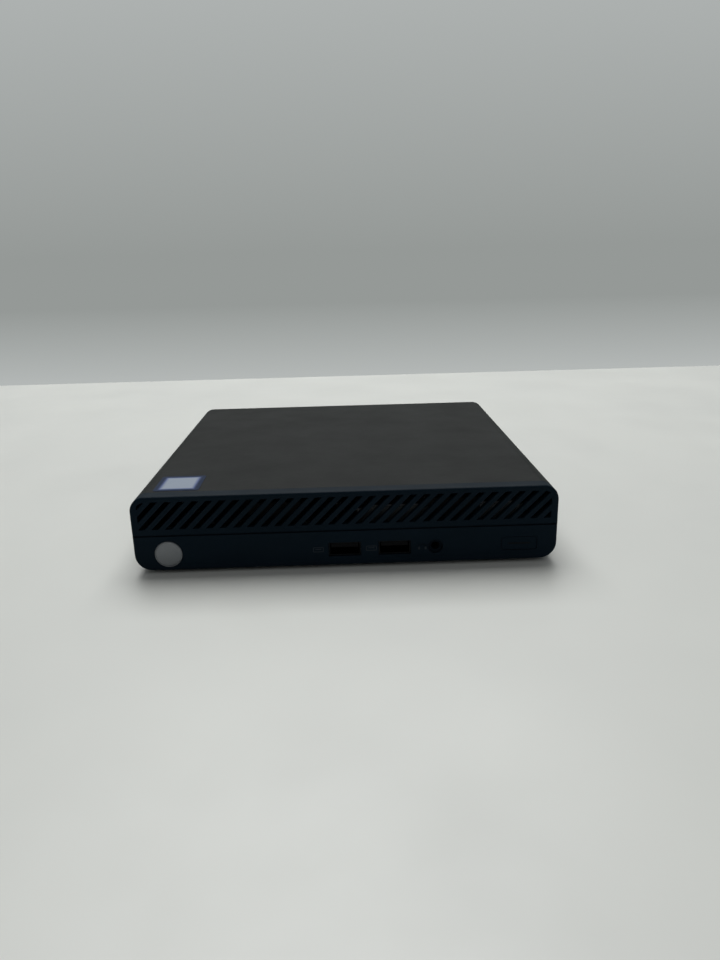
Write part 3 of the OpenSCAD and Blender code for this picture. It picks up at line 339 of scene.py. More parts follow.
# %% Badge
# Spun aluminium: the lathe leaves fine rings round the centre, which catch the light in arcs.
badge_low, badge_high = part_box("badge")
badge_middle = (badge_low + badge_high) / 2
spun = Finish("Spun aluminium, satin", "#76797C", 0.34, edge_mm=0.15, metallic=1.0)
distance = spun.spoke(badge_middle, (1, 0, 1))
rings = spun.node("TexNoise", {"W": distance, "Scale": 1 / (0.35 * MM), "Detail": 3},
                  noise_dimensions="1D")
spun.blend(spun.node("MapRange", [rings, 0.35, 0.65, 0, 0.6]), "#7B7E82").bump(rings, 0.02)
spun.patchy(0.28, 0.42, 4)
spun_aluminium = spun.done()
dress(spun_aluminium, "badge")

# %% Rubber feet
rubber = Finish("Rubber, moulded, matt black", "#141516", 0.82, edge_mm=0.4, specular=0.3)
rubber.mottle("#1E1F20", 5, 0.7).grain(0.8, 0.04).worn("#2B2C2D", 0.5, 0.6, 3)
dress(rubber.done(), "rubber_feet")

# %% [markdown]
# ## Metals
#
# Stamped, drawn, extruded and turned metals differ in the direction of their marks more than
# in their colour. Each starts as a plain metal, and its grain is stretched along the way that
# the sheet was rolled, the fins were cut or the screw was turned.

# %% Sheet metals
# Rear panel and drive tray: galvanised sheet with rolling lines along X.
zinc = Finish("Galvanised steel sheet", "#A1A5A7", 0.38, edge_mm=0.2, metallic=1.0)
spangle = zinc.node("TexVoronoi", {"Vector": zinc.place, "Scale": 1 / (7 * MM)})
zinc.blend(zinc.node("MapRange", [spangle.outputs["Color"], 0, 1, 0, 0.55]), "#878C8F")
zinc.mottle("#B4B8BA", 18, 0.5).patchy(0.3, 0.5, 9).grain(0.5, 0.012, (0.06, 1, 1))
dress(zinc.done(), "rear_panel", "drive_tray")

# Port shells: nickel-plated strip, bright, with hair scratches.
nickel = Finish("Nickel-plated steel, stamped", "#B9BABA", 0.24, edge_mm=0.12, metallic=1.0)
nickel.mottle("#A5A6A4", 8, 0.4).patchy(0.27, 0.34, 5).grain(0.5, 0.008, (1, 0.08, 1))
bright_nickel = nickel.done()
dress(bright_nickel, "rear_usb_shells", "video_shells")

# The network jack is the same strip folded round a black insert, which lines its mouth.
jack_low, jack_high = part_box("network_jack")
shield = Finish("Nickel-plated steel round a black insert", "#B9BABA", 0.3, edge_mm=0.12)
shield.mottle("#A5A6A4", 8, 0.4).patchy(0.27, 0.34, 5).grain(0.5, 0.008, (1, 0.08, 1))
mouth_wide, mouth_high, mouth_z = 10.9 * MM, 10.2 * MM, jack_low.z + 5.8 * MM
mouth_middle = ((jack_low.x + jack_high.x) / 2, jack_low.y, mouth_z)
mouth_half = (mouth_wide / 2, jack_high.y - jack_low.y - 0.05 * MM, mouth_high / 2)
lining = shield.node("Math", [shield.depth(mouth_middle, mouth_half), 0.0],
                     operation="GREATER_THAN")
shield.blend(lining, "#101214")
shield.metallic = shield.node("Math", [1.0, lining], operation="SUBTRACT")
dress(shield.done(), "network_jack")

# The two shells at the front are plated black, so that they don't shine in the black face.
dark = Finish("Black nickel on steel, stamped", "#191B1D", 0.34, edge_mm=0.1, metallic=1.0)
dark.mottle("#232628", 3, 0.7).patchy(0.28, 0.42, 3).grain(0.5, 0.008, (1, 0.08, 1))
dress(dark.done(), "front_usb_shells")

# Screws, posts and inserts: zinc-plated, turned, a touch warm.
plated = Finish("Zinc-plated steel, turned", "#BFC1C0", 0.3, edge_mm=0.12, metallic=1.0)
plated.mottle("#A9ABA8", 2, 0.8).patchy(0.22, 0.42, 1.2).grain(0.5, 0.01)
plated_steel = plated.done()
dress(plated_steel, "mount_inserts", "board_posts", "board_screws", "cooler_screws",
      "drive_screws", "thumbscrew", "fan_shaft", "rear_rivets")

# %% Cooler, chipset cooler, capacitors
skived = Finish("Aluminium, skived fins", "#C3C6C8", 0.32, edge_mm=0.1, metallic=1.0)
skived.mottle("#AEB2B5", 12, 0.7, (1, 0.3, 1)).patchy(0.26, 0.44, 6)
skived.grain(0.6, 0.012, (1, 0.05, 1))
dress(skived.done(), "cooler")

anodised = Finish("Anodised aluminium, blue", "#34608F", 0.36, edge_mm=0.15, metallic=1.0)
anodised.mottle("#2B527C", 6, 0.8).patchy(0.3, 0.45, 3).grain(0.5, 0.01, (1, 0.06, 1))
anodised.worn("#A9B4BE", 0.25, 0.7, 2)
dress(anodised.done(), "chipset_cooler")

# Capacitor cans: bright drawn aluminium on a black base 0.9 mm high.
can_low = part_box("capacitors")[0]
cans = Finish("Aluminium can, bright", "#C9CBCC", 0.25, edge_mm=0.2, metallic=1.0)
cans.patchy(0.2, 0.34, 2).grain(0.5, 0.008)
can_height = cans.node("SeparateXYZ", [cans.place]).outputs["Z"]
base_band = cans.node("Math", [can_height, can_low.z + 0.9 * MM], operation="LESS_THAN")
cans.blend(base_band, "#101214")
cans.metallic = cans.node("Math", [1.0, base_band], operation="SUBTRACT")
dress(cans.done(), "capacitors")

# %% Drive case, processor lid and coin cell
case = Finish("Cast aluminium, bead-blasted", "#8C9093", 0.45, edge_mm=0.4, metallic=1.0)
case.mottle("#7C8084", 20, 0.5).patchy(0.44, 0.5, 9).grain(0.7, 0.03)
dress(case.done(), "storage_drive")

lid = Finish("Nickel-plated copper", "#B5B4AE", 0.28, edge_mm=0.3, metallic=1.0)
lid.mottle("#A3A19A", 9, 0.8).patchy(0.22, 0.38, 5).grain(0.6, 0.01)
dress(lid.done(), "processor")

cell_low, cell_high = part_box("coin_cell")
cell = Finish("Stainless steel, spun", "#C4C5C4", 0.26, edge_mm=0.2, metallic=1.0)
distance = cell.spoke((cell_low + cell_high) / 2, (1, 1, 0))
rings = cell.node("TexNoise", {"W": distance, "Scale": 1 / (0.5 * MM)}, noise_dimensions="1D")
cell.bump(rings, 0.015).patchy(0.2, 0.34, 4)
dress(cell.done(), "coin_cell")

# %% Gold, brass and copper
gold = Finish("Gold flash over nickel", "#D2A94E", 0.22, edge_mm=0.08, metallic=1.0)
gold.mottle("#B98F3B", 1.5, 0.7).patchy(0.18, 0.32, 1).grain(0.5, 0.006)
gold_flash = gold.done()
dress(gold_flash, "network_contacts", "power_inlet_pin", "switch_plunger")

brass = Finish("Brass, sintered", "#A8823F", 0.45, edge_mm=0.15, metallic=1.0)
brass.mottle("#8D6B30", 1.5, 0.8).grain(0.5, 0.02)
dress(brass.done(), "fan_bush")

# Enamelled wire of 0.2 mm in flat layers round the stator's arms. Its turns are drawn 1 mm
# apart so that they show.
winding = Finish("Copper wire, enamelled, wound", "#9C4F22", 0.3, edge_mm=0, metallic=1.0)
layers = winding.node("TexWave", {"Vector": winding.place, "Scale": 1 / (3.2 * MM),
                                  "Distortion": 0.6}, bands_direction="Z").outputs["Fac"]
winding.blend(winding.node("MapRange", [layers, 0, 1, 0, 0.7]), "#6E3414").bump(layers, 0.12)
dress(winding.done(), "fan_stator")

# %% [markdown]
# ## Plastics inside
#
# Connectors are glass-filled nylon, dull with a faint flow of fibres; the blower is PBT,
# smoother and greyer; data-port tongues that are blue mark the faster kind. They are all
# moulded, so each gets a fine grain and softened edges, the blower's also worn ones, and only the
# tone changes.

# %% Connector and blower plastics
nylon = Finish("Nylon, glass-filled, black", "#16181A", 0.52, edge_mm=0.12)
nylon.mottle("#202326", 4, 0.8, (1, 1, 0.4)).patchy(0.45, 0.62, 3).grain(0.5, 0.012)
black_nylon = nylon.done()
dress(black_nylon, "power_switch", "video_tongues", "speaker", "processor_socket",
      "memory_sockets", "wireless_socket", "coin_cell_holder", "power_inlet", "drive_plug")

# The tongues of the front ports are of a flat black grade.
tongues = Finish("Nylon, glass-filled, flat black", "#07080A", 0.6, edge_mm=0.12, specular=0.1)
tongues.mottle("#0B0C0E", 4, 0.8).grain(0.5, 0.012)
dress(tongues.done(), "front_usb_tongues")

# The headset jack's collar is tinted to match the mouldings, so that only its bore shows.
tinted = Finish("Nylon, flat, tinted dark blue", "#08121A", 0.6, edge_mm=0.12, specular=0.03)
tinted.mottle("#0A151E", 4, 0.8).grain(0.5, 0.012)
dress(tinted.done(), "headset_jack")

pbt = Finish("PBT, moulded, charcoal", "#1D1F21", 0.46, edge_mm=0.2)
pbt.mottle("#26292C", 14, 0.8).patchy(0.4, 0.55, 8).grain(0.7, 0.015).worn("#3A3D40", 0.3, 0.4)
dress(pbt.done(), "fan_housing", "fan_lid", "fan_rotor", "port_blank")

blue = Finish("PBT, moulded, blue", "#1E5AA0", 0.42, edge_mm=0.1)
blue.mottle("#1A4C88", 3, 0.8).grain(0.5, 0.01)
dress(blue.done(), "rear_usb_tongues")

pale = Finish("Nylon, natural", "#DAD7CB", 0.48, edge_mm=0.12, constants={
    "Subsurface Weight": 0.1, "Subsurface Radius": (0.002, 0.0015, 0.001)})
pale.mottle("#CFCBBC", 3, 0.7).grain(0.5, 0.01)
dress(pale.done(), "fan_plug")

# Chokes: pressed iron powder, dark grey and slightly sparkling.
ferrite = Finish("Iron powder, pressed", "#3A3C3E", 0.6, edge_mm=0.2, metallic=0.35)
ferrite.mottle("#4B4D4F", 1, 0.9).grain(0.6, 0.03)
dress(ferrite.done(), "power_chokes")

# Cable jacket: soft PVC, slightly shiny.
pvc = Finish("PVC jacket, soft black", "#0F1011", 0.4, edge_mm=0)
pvc.mottle("#18191A", 6, 0.8).grain(0.6, 0.01)
dress(pvc.done(), "antenna_leads")

# %% Ribbon
# Flat flexible cable: copper strips of 0.6 mm, 1 mm apart, under brown polyimide film.
film = Finish("Polyimide film over copper strips", "#A8631E", 0.3, edge_mm=0)
across = film.node("SeparateXYZ", [film.place]).outputs["X"]
strip = film.node("Math", [film.node("Math", [across, 1 * MM], operation="DIVIDE")],
                  operation="FRACT")
film.blend(film.node("Math", [strip, 0.45], operation="GREATER_THAN"), "#C98A3A")
film.bump(strip, 0.03).patchy(0.24, 0.4, 5)
dress(film.done(), "drive_ribbon")

# %% [markdown]
# ## Printed circuit boards
#
# A board is glass fibre laminate under a coloured solder mask, with copper tracks that show
# through as a lighter green, in bundles that run straight or at 45 degrees, and plated holes
# with gold rims. The tracks could be thousands of thin meshes, but they stand only a few
# hundredths of a millimetre proud, so they are drawn in the material: the board is divided
# into cells, and a random number gives each cell the direction of its bundle.

# %% Boards
board = Finish("Glass-fibre laminate, green solder mask", "#0F3B28", 0.32, edge_mm=0.1)
board.mottle("#12432D", 22, 0.8)
plan = board.centred((0, 0, 0), (1, 1, 0))
cells = board.node("VectorMath", [plan, (9 * MM,) * 3], operation="SNAP")
chance = board.node("TexWhiteNoise", {"Vector": cells}, noise_dimensions="3D")
spots = board.node("SeparateXYZ", [board.place]).outputs
slanted = board.node("Math", [spots["X"], spots["Y"]], operation="ADD")
level = board.node("Math", [chance, 0.45], operation="GREATER_THAN")
diagonal = board.node("Math", [chance, 0.75], operation="GREATER_THAN")
run = board.node("Mix", {0: level, 2: spots["X"], 3: spots["Y"]})
run = board.node("Mix", {0: diagonal, 2: run, 3: slanted})
# Tracks 0.3 mm wide, drawn 0.5 mm wide and 1.1 mm apart so that they show.
phase = board.node("Math", [board.node("Math", [run, 1.1 * MM], operation="DIVIDE")],
                   operation="FRACT")
track = board.node("Math", [phase, 0.55], operation="GREATER_THAN")
bundle = board.node("MapRange", [board.patches(7, 1.0), 0.46, 0.5])
tracks = board.node("Math", [track, bundle], operation="MULTIPLY")
board.blend(tracks, "#1F6242").bump(tracks, 0.05)
# Plated holes, 0.3 mm across in gold rims of 0.6 mm, about 2.6 mm apart between the bundles. Each
# hole is a near-black dot in the colour, which is painted shade for the dark inside of the hole.
holes = board.node("TexVoronoi", {"Vector": plan, "Scale": 1 / (2.6 * MM), "Randomness": 0.7})
clear = board.node("Math", [1.0, bundle], operation="SUBTRACT")
rim = board.node("Math", [holes, 0.11], operation="LESS_THAN")
rim = board.node("Math", [rim, clear], operation="MULTIPLY")
board.blend(rim, "#B89A52")
# Painted shade: a near-black dot stands for the shaded inside of each hole.
hole_painted_shade = board.node("Math", [holes, 0.05], operation="LESS_THAN")
board.blend(board.node("Math", [hole_painted_shade, rim], operation="MULTIPLY"), "#0A0D0B")
board.patchy(0.26, 0.4, 12)
dress(board.done(), "main_board", "memory_modules", "wireless_card", "chipset")

# Antenna boards: black mask over copper lines, 1 mm from row to row.
aerial = Finish("Glass-fibre laminate, black solder mask", "#060708", 0.5, edge_mm=0.08,
                specular=0.15)
spots = aerial.node("SeparateXYZ", [aerial.place]).outputs
upright = aerial.node("CombineXYZ", [spots["X"], spots["Z"]])
turns = aerial.node("TexBrick", {"Vector": upright, "Scale": 1 / (4 * MM),
                                 "Mortar Size": 0.06}, offset=0.5).outputs["Fac"]
aerial.blend(aerial.node("MapRange", [turns, 0, 1, 0, 0.5]), "#17130D").bump(turns, 0.05)
dress(aerial.done(), "antennas")

# %% [markdown]
# ## Helpers for new pieces
#
# The small things that a maker adds last, such as marks, contacts, labels and the parts
# soldered to the boards, are not in the frame. They are modelled here from boxes and turned
# outlines, in mesh operators: `block` softens a box's edges, `turned` spins an outline as a
# lathe does, and `piece` makes the mesh an object, gives it a finish and lets it ride on
# the body that carries it.

# %% Helpers for new pieces
def block(shape, start, end, soften_mm=0.0, segments=1):
    """Adds a box between two opposite corners, with softened edges, to a mesh."""
    corners = bmesh.ops.create_cube(shape, size=1.0)["verts"]
    bmesh.ops.scale(shape, vec=[abs(b - a) for a, b in zip(start, end)], verts=corners)
    bmesh.ops.translate(shape, vec=[(a + b) / 2 for a, b in zip(start, end)], verts=corners)
    if soften_mm:
        edges = list(dict.fromkeys(edge for corner in corners for edge in corner.link_edges))
        bmesh.ops.bevel(shape, geom=edges, offset=soften_mm * MM, segments=segments,
                        profile=0.5, affect="EDGES", material=-1)


def around(x, y, half_x, half_y, low_z, high_z):
    """The two corners of a box round a spot."""
    return (x - half_x, y - half_y, low_z), (x + half_x, y + half_y, high_z)


def turned(shape, outline_mm, centre, axis, steps=24):
    """Spins an outline of (radius, height) points, in millimetres, about an axis.

    An outline that doesn't end on the axis is closed, so the result is a solid or a ring."""
    axis = Vector(axis)
    side = axis.orthogonal().normalized()
    corners = [shape.verts.new(Vector(centre) + side * r * MM + axis * h * MM)
               for r, h in outline_mm]
    ends_on_axis = outline_mm[0][0] == 0 and outline_mm[-1][0] == 0
    pairs = list(zip(corners, corners[1:])) + ([] if ends_on_axis else [(corners[-1], corners[0])])
    lines = [shape.edges.new(pair) for pair in pairs]
    bmesh.ops.spin(shape, geom=corners + lines, cent=centre, axis=axis,
                   angle=2 * math.pi, steps=steps, use_merge=True)


def piece(name, shape, finish, body, smooth=False):
    """Makes a mesh an object with a finish, riding on a body."""
    bmesh.ops.remove_doubles(shape, verts=shape.verts, dist=0.001 * MM)
    bmesh.ops.recalc_face_normals(shape, faces=shape.faces)
    for face in shape.faces:
        face.smooth = smooth
    mesh = bpy.data.meshes.new(name)
    shape.to_mesh(mesh)
    shape.free()
    made = bpy.data.objects.new(name, mesh)
    bpy.context.scene.collection.objects.link(made)
    mesh.materials.append(finish)
    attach(made, body)
    print(name, len(mesh.polygons), "faces, on", body)
    return made


# %% [markdown]
# ## Badge rim and front marks
#
# The badge is a bare disc: what such a computer carries there is a maker's sign, and this one
# has none. A fine bright bead runs round it, spun from a small half-round outline. The marks
# beside the ports are printed in a grey that hardly shows: an outline of the port, and a
# headband with two pads by the headset jack.

# %% Badge rim
badge_r = (badge_high.x - badge_low.x) / 2 / MM
shape = bmesh.new()
turned(shape, [(badge_r - 0.55, 0), (badge_r - 0.42, 0.13), (badge_r - 0.25, 0.18),
               (badge_r - 0.1, 0.12), (badge_r, 0)],
       (badge_middle.x, badge_low.y, badge_middle.z), (0, -1, 0), 72)
piece("badge_rim", shape, spun_aluminium, "cover", smooth=True)

# %% Front marks
ink = Finish("Pad-printed ink, dark grey", "#222A31", 0.6, edge_mm=0, specular=0.2)
ink.mottle("#1C232A", 1.5, 0.8)
grey_ink = ink.done()
face_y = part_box("lower_bezel")[0].y
mark_z, headset_x, port_marks_x = 8.7 * MM, 31.8 * MM, (-11.8 * MM, 10.4 * MM)
ink_thick = 0.02 * MM


def printed(shape, x0, z0, x1, z1):
    """A printed bar on the front face."""
    block(shape, (x0, face_y - ink_thick, z0), (x1, face_y + ink_thick, z1))


# The headband is the upper part of a flat ring, and each pad is a bar at its end.
band_r = 1.5 * MM
shape = bmesh.new()
bmesh.ops.create_circle(shape, segments=24, radius=band_r)
inner = bmesh.ops.extrude_edge_only(shape, edges=shape.edges[:])["geom"]
inner = [item for item in inner if isinstance(item, bmesh.types.BMVert)]
bmesh.ops.scale(shape, verts=inner, vec=(0.8, 0.8, 1))
bmesh.ops.bisect_plane(shape, geom=[*shape.verts, *shape.edges, *shape.faces],
                       plane_co=(0, -0.1 * MM, 0), plane_no=(0, -1, 0), clear_outer=True)
bmesh.ops.solidify(shape, geom=shape.faces[:], thickness=2 * ink_thick)
bmesh.ops.rotate(shape, verts=shape.verts, matrix=Matrix.Rotation(math.pi / 2, 3, "X"))
bmesh.ops.translate(shape, verts=shape.verts, vec=(headset_x, face_y, mark_z - 0.2 * MM))
for side in (-1, 1):
    pad_x = headset_x + side * 1.35 * MM
    printed(shape, pad_x - 0.4 * MM, mark_z - 1.3 * MM, pad_x + 0.4 * MM, mark_z - 0.1 * MM)
# A port's mark is an outline with a tongue in it.
half_wide, half_high, line = 2.1 * MM, 0.95 * MM, 0.3 * MM
for x in port_marks_x:
    for side in (-1, 1):
        printed(shape, x + side * half_wide - line / 2, mark_z - half_high,
                x + side * half_wide + line / 2, mark_z + half_high)
        printed(shape, x - half_wide, mark_z + side * half_high - line / 2,
                x + half_wide, mark_z + side * half_high + line / 2)
    printed(shape, x - half_wide * 0.6, mark_z, x + half_wide * 0.6, mark_z + 0.35 * MM)
piece("front_marks", shape, grey_ink, "cover")

# %% [markdown]
# ## Label on the lid
#
# A vinyl label sits at the left front of the lid, pale with a blue edge that fades inwards.
# Its print is left out, so it is a blank one. It is a thin plate with rounded corners and a
# softened rim, which catches a thread of light as a real label does; the fade is drawn from
# the distance to the nearest edge.

# %% Label on the lid
label_low, label_high = Vector((-80.3, -79.7)) * MM, Vector((-61.2, -58.8)) * MM
label_middle = (label_low + label_high) / 2
half = (label_high - label_low) / 2
label_thick, corner_r = 0.11 * MM, 1.4 * MM
shape = bmesh.new()
bmesh.ops.create_grid(shape, x_segments=1, y_segments=1, size=0.5)
bmesh.ops.scale(shape, verts=shape.verts, vec=(2 * half.x, 2 * half.y, 1))
bmesh.ops.translate(shape, verts=shape.verts,
                    vec=(label_middle.x, label_middle.y, cad_high.z + 0.005 * MM))
bmesh.ops.bevel(shape, geom=shape.verts[:], offset=corner_r, segments=6, profile=0.5,
                affect="VERTICES", material=-1)
raised = bmesh.ops.extrude_face_region(shape, geom=shape.faces[:])["geom"]
top = [item for item in raised if isinstance(item, bmesh.types.BMVert)]
bmesh.ops.translate(shape, verts=top, vec=(0, 0, label_thick))
rim = [edge for edge in shape.edges if all(vert in top for vert in edge.verts)]
bmesh.ops.bevel(shape, geom=rim, offset=0.05 * MM, segments=2, profile=0.5,
                affect="EDGES", material=-1)

vinyl = Finish("Vinyl label, printed, satin", "#8C95A2", 0.42, edge_mm=0, specular=0.04)
to_edge = vinyl.depth((*label_middle, 0), (*half, 1))
vinyl.blend(vinyl.node("MapRange", [to_edge, 3.6 * MM, 2.2 * MM]), "#55628A")
vinyl.blend(vinyl.node("MapRange", [to_edge, 2.7 * MM, 1.5 * MM]), "#1A2740")
vinyl.patchy(0.32, 0.44, 3).grain(1.2, 0.006)
piece("lid_label", shape, vinyl.done(), "cover")

# %% [markdown]
# ## Contacts in the ports
#
# Every data port has four gold strips under its tongue, and the display connectors have two
# rows of ten. They are only a tenth of a millimetre thick, but a port without them looks
# like a toy, so each strip is a softened block set into the tongue's face.

# %% Contacts in the ports
def islands(name):
    """The lowest and highest corners of each separate solid in a part of the frame."""
    shape = bmesh.new()
    shape.from_mesh(nodes[name].data)
    bmesh.ops.remove_doubles(shape, verts=shape.verts, dist=0.0005 * MM)
    left, found = set(shape.verts), []
    while left:
        reach, members = [left.pop()], []
        while reach:
            vert = reach.pop()
            members.append(vert.co.copy())
            for edge in vert.link_edges:
                other = edge.other_vert(vert)
                if other in left:
                    left.remove(other)
                    reach.append(other)
        found.append((Vector(map(min, *members)), Vector(map(max, *members))))
    shape.free()
    return sorted(found, key=lambda box: tuple(round(v, 6) for v in box[0]))


strip_half, strip_start, strip_end = 0.5 * MM, 0.8 * MM, 8.5 * MM
shape = bmesh.new()
for name, toward in (("front_usb_tongues", -1), ("rear_usb_tongues", 1)):
    for low, high in islands(name):
        tip = low.y if toward < 0 else high.y
        for offset in (-3.5, -1.25, 1.25, 3.5):
            x = (low.x + high.x) / 2 + offset * MM
            block(shape, (x - strip_half, tip - toward * strip_start, low.z - 0.08 * MM),
                  (x + strip_half, tip - toward * strip_end, low.z + 0.05 * MM), 0.03)
in_a_row = 10
for low, high in islands("video_tongues"):
    for i in range(in_a_row):
        x = low.x + (high.x - low.x) * (i + 0.5) / in_a_row
        for z in (low.z - 0.06 * MM, high.z - 0.04 * MM):
            block(shape, (x - 0.25 * MM, high.y - 6 * MM, z),
                  (x + 0.25 * MM, high.y - 0.4 * MM, z + 0.1 * MM), 0.02)
piece("port_contacts", shape, gold_flash, "chassis")

# %% Springs on the port shells
# Stamped springs that touch the case, two on top of each shell, standing 0.2 mm proud.
spring_half_x, spring_half_y, proud = 1.1 * MM, 3.2 * MM, 0.2 * MM
shape = bmesh.new()
for name in ("front_usb_shells", "rear_usb_shells"):
    for low, high in islands(name):
        for offset in (-2.6, 2.6):
            x, y = (low.x + high.x) / 2 + offset * MM, (low.y + high.y) / 2
            block(shape, *around(x, y, spring_half_x, spring_half_y, high.z - 0.05 * MM,
                                 high.z + proud), 0.12, 2)
piece("port_springs", shape, bright_nickel, "chassis")

# %% Jack lights and inlet sleeve
# Two clear windows over the network socket show its link lights, and both are off.
window_wide = 2.4 * MM
shape = bmesh.new()
for x in (-17.2 * MM, -8.5 * MM):
    block(shape, (x, jack_high.y - 0.3 * MM, jack_high.z - 2.1 * MM),
          (x + window_wide, jack_high.y + 0.12 * MM, jack_high.z - 0.7 * MM), 0.15, 2)
window = Finish("Polycarbonate, clear", "#C8CBBE", 0.15, edge_mm=0.05,
                constants={"Transmission Weight": 0.6})
window.mottle("#B4B9A8", 1.5, 0.6)
piece("jack_lights", shape, window.done(), "chassis")

# The inlet's outer contact is a thin drawn sleeve that lines the bore.
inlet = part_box("power_inlet_pin")
pin_middle = (inlet[0] + inlet[1]) / 2
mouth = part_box("power_inlet")[1].y
shape = bmesh.new()
turned(shape, [(2.72, 0.05), (2.6, 0.12), (2.5, 0), (2.5, -8), (2.72, -8)],
       (pin_middle.x, mouth, pin_middle.z), (0, 1, 0), 32)
piece("inlet_sleeve", shape, bright_nickel, "chassis", smooth=True)

# %% [markdown]
# ## Parts soldered to the main board
#
# A bare board between its sockets looks empty, because the real one carries some hundreds of
# resistors, ceramic capacitors, small chips and crystals. Their places are drawn at random
# from a fixed seed, along the board's grid, and a place is only used if it keeps clear of
# every part of the frame and of the parts placed before. One mesh holds all parts of a
# kind, which keeps the scene light. The ends of the resistors and capacitors are tinned.

# %% Places for small parts
board_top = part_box("main_board")[1].z
taken = []
for name in nodes:
    if name in ("main_board", "base_tray", "rear_panel", "top_cover", "upper_bezel"):
        continue
    for low, high in islands(name):
        if low.z < board_top + 2 * MM and high.z > board_top:
            taken.append((low.x, low.y, high.x, high.y))
draws = random.Random(41)
reach_x_mm, reach_y_mm, tries = 77, 70, 200


def free_place(long_mm, wide_mm, gap_mm=0.7):
    """A random spot on the board's half-millimetre grid where a part fits, or nothing."""
    for _ in range(tries):
        x = round(draws.uniform(-reach_x_mm, reach_x_mm) * 2) / 2 * MM
        y = round(draws.uniform(-reach_y_mm, reach_y_mm) * 2) / 2 * MM
        lying = draws.random() < 0.5
        half_x = (long_mm if lying else wide_mm) / 2 * MM
        half_y = (wide_mm if lying else long_mm) / 2 * MM
        gap, spot = gap_mm * MM, (x - half_x, y - half_y, x + half_x, y + half_y)
        if all(spot[2] + gap < t[0] or t[2] + gap < spot[0]
               or spot[3] + gap < t[1] or t[3] + gap < spot[1] for t in taken):
            taken.append(spot)
            return x, y, half_x, half_y, lying
    return None


# %% Pin headers
# Square pins of 0.64 mm in two rows, 2.54 mm apart, in a black strip.
strips, pins = bmesh.new(), bmesh.new()
pitch_mm, cube_half, pin_half = 2.54, 1.26 * MM, 0.32 * MM
for count in (5, 3):
    found = free_place(pitch_mm * count, 2 * pitch_mm)
    if not found:
        continue
    x, y, _, _, lying = found
    for i in range(count):
        for row in (-0.5, 0.5):
            along, beside = (i - (count - 1) / 2) * pitch_mm * MM, row * pitch_mm * MM
            px, py = (x + along, y + beside) if lying else (x + beside, y + along)
            block(strips, *around(px, py, cube_half, cube_half, board_top,
                                  board_top + 2.5 * MM), 0.35)
            block(pins, *around(px, py, pin_half, pin_half, board_top + 2.4 * MM,
                                board_top + 6.5 * MM), 0.12)
piece("header_strips", strips, black_nylon, "chassis")
piece("header_pins", pins, gold_flash, "chassis")

# %% Chips and crystals
epoxy = Finish("Moulded epoxy, black", "#141517", 0.5, edge_mm=0.1)
epoxy.mottle("#1A1B1D", 3, 0.8).grain(0.5, 0.012)
black_epoxy = epoxy.done()
tin = Finish("Tinned copper, reflowed", "#B9BBBA", 0.32, edge_mm=0.05, metallic=1.0)
tin.mottle("#9FA1A0", 0.8, 0.8).patchy(0.32, 0.5, 0.8)
solder = tin.done()

# Each chip's length, width and height in millimetres, and its legs on either side.
kinds = ([(7, 7, 1.0, 0)] * 3 + [(5, 4, 1.5, 4)] * 8 + [(4, 4, 0.9, 0)] * 8
         + [(2.9, 1.6, 1.0, 3)] * 16)
foot_half_mm, foot_inside_mm, foot_reach_mm = 0.2, 0.1, 0.8
chips, legs, crystals = bmesh.new(), bmesh.new(), bmesh.new()
for long_mm, wide_mm, high_mm, side_legs in kinds:
    found = free_place(long_mm + 0.4, wide_mm + 2.2 if side_legs else wide_mm)
    if not found:
        continue
    x, y, _, _, lying = found
    a, b = (long_mm / 2, wide_mm / 2) if lying else (wide_mm / 2, long_mm / 2)
    block(chips, *around(x, y, a * MM, b * MM, board_top + 0.08 * MM,
                         board_top + high_mm * MM), 0.1)
    for i in range(side_legs):
        along = (i + 0.5) / side_legs * long_mm - long_mm / 2
        for side in (-1, 1):
            heel = along - foot_half_mm, side * (wide_mm / 2 - foot_inside_mm)
            toe = along + foot_half_mm, side * (wide_mm / 2 + foot_reach_mm)
            if not lying:
                heel, toe = heel[::-1], toe[::-1]
            block(legs, (x + heel[0] * MM, y + heel[1] * MM, board_top - 0.02 * MM),
                  (x + toe[0] * MM, y + toe[1] * MM, board_top + 0.25 * MM), 0.05)
for _ in range(4):
    found = free_place(5, 3.2)
    if found:
        x, y, half_x, half_y, _ = found
        block(crystals, *around(x, y, half_x, half_y, board_top - 0.02 * MM,
                                board_top + 1.1 * MM), 0.3, 2)
piece("board_chips", chips, black_epoxy, "chassis")
piece("board_legs", legs, solder, "chassis")
piece("board_crystals", crystals, plated_steel, "chassis")

# %% Resistors and ceramic capacitors
# Length, width and height in millimetres, and the mesh that takes the body.
resistors, ceramics, ends = bmesh.new(), bmesh.new(), bmesh.new()
kinds = ([(3.2, 1.6, 1.3, ceramics)] * 30 + [(2, 1.25, 0.9, ceramics)] * 90
         + [(2, 1.25, 0.5, resistors)] * 110)
end_long = 0.35 * MM
for long_mm, wide_mm, high_mm, body in kinds:
    found = free_place(long_mm, wide_mm, 0.45)
    if not found:
        continue
    x, y, half_x, half_y, lying = found
    inner_x, inner_y = (half_x - end_long, half_y) if lying else (half_x, half_y - end_long)
    block(body, *around(x, y, inner_x, inner_y, board_top,
                        board_top + (high_mm - 0.03) * MM), 0.03)
    for side in (-1, 1):
        if lying:
            start, end = (x + side * inner_x, y - half_y), (x + side * half_x, y + half_y)
        else:
            start, end = (x - half_x, y + side * inner_y), (x + half_x, y + side * half_y)
        block(ends, (*start, board_top - 0.02 * MM), (*end, board_top + high_mm * MM), 0.08)
tan = Finish("Barium titanate ceramic, tan", "#8A7657", 0.45, edge_mm=0.05)
tan.mottle("#75644A", 2, 0.8).grain(0.5, 0.01)
piece("board_resistors", resistors, black_epoxy, "chassis")
piece("board_ceramics", ceramics, tan.done(), "chassis")
piece("board_terminals", ends, solder, "chassis")

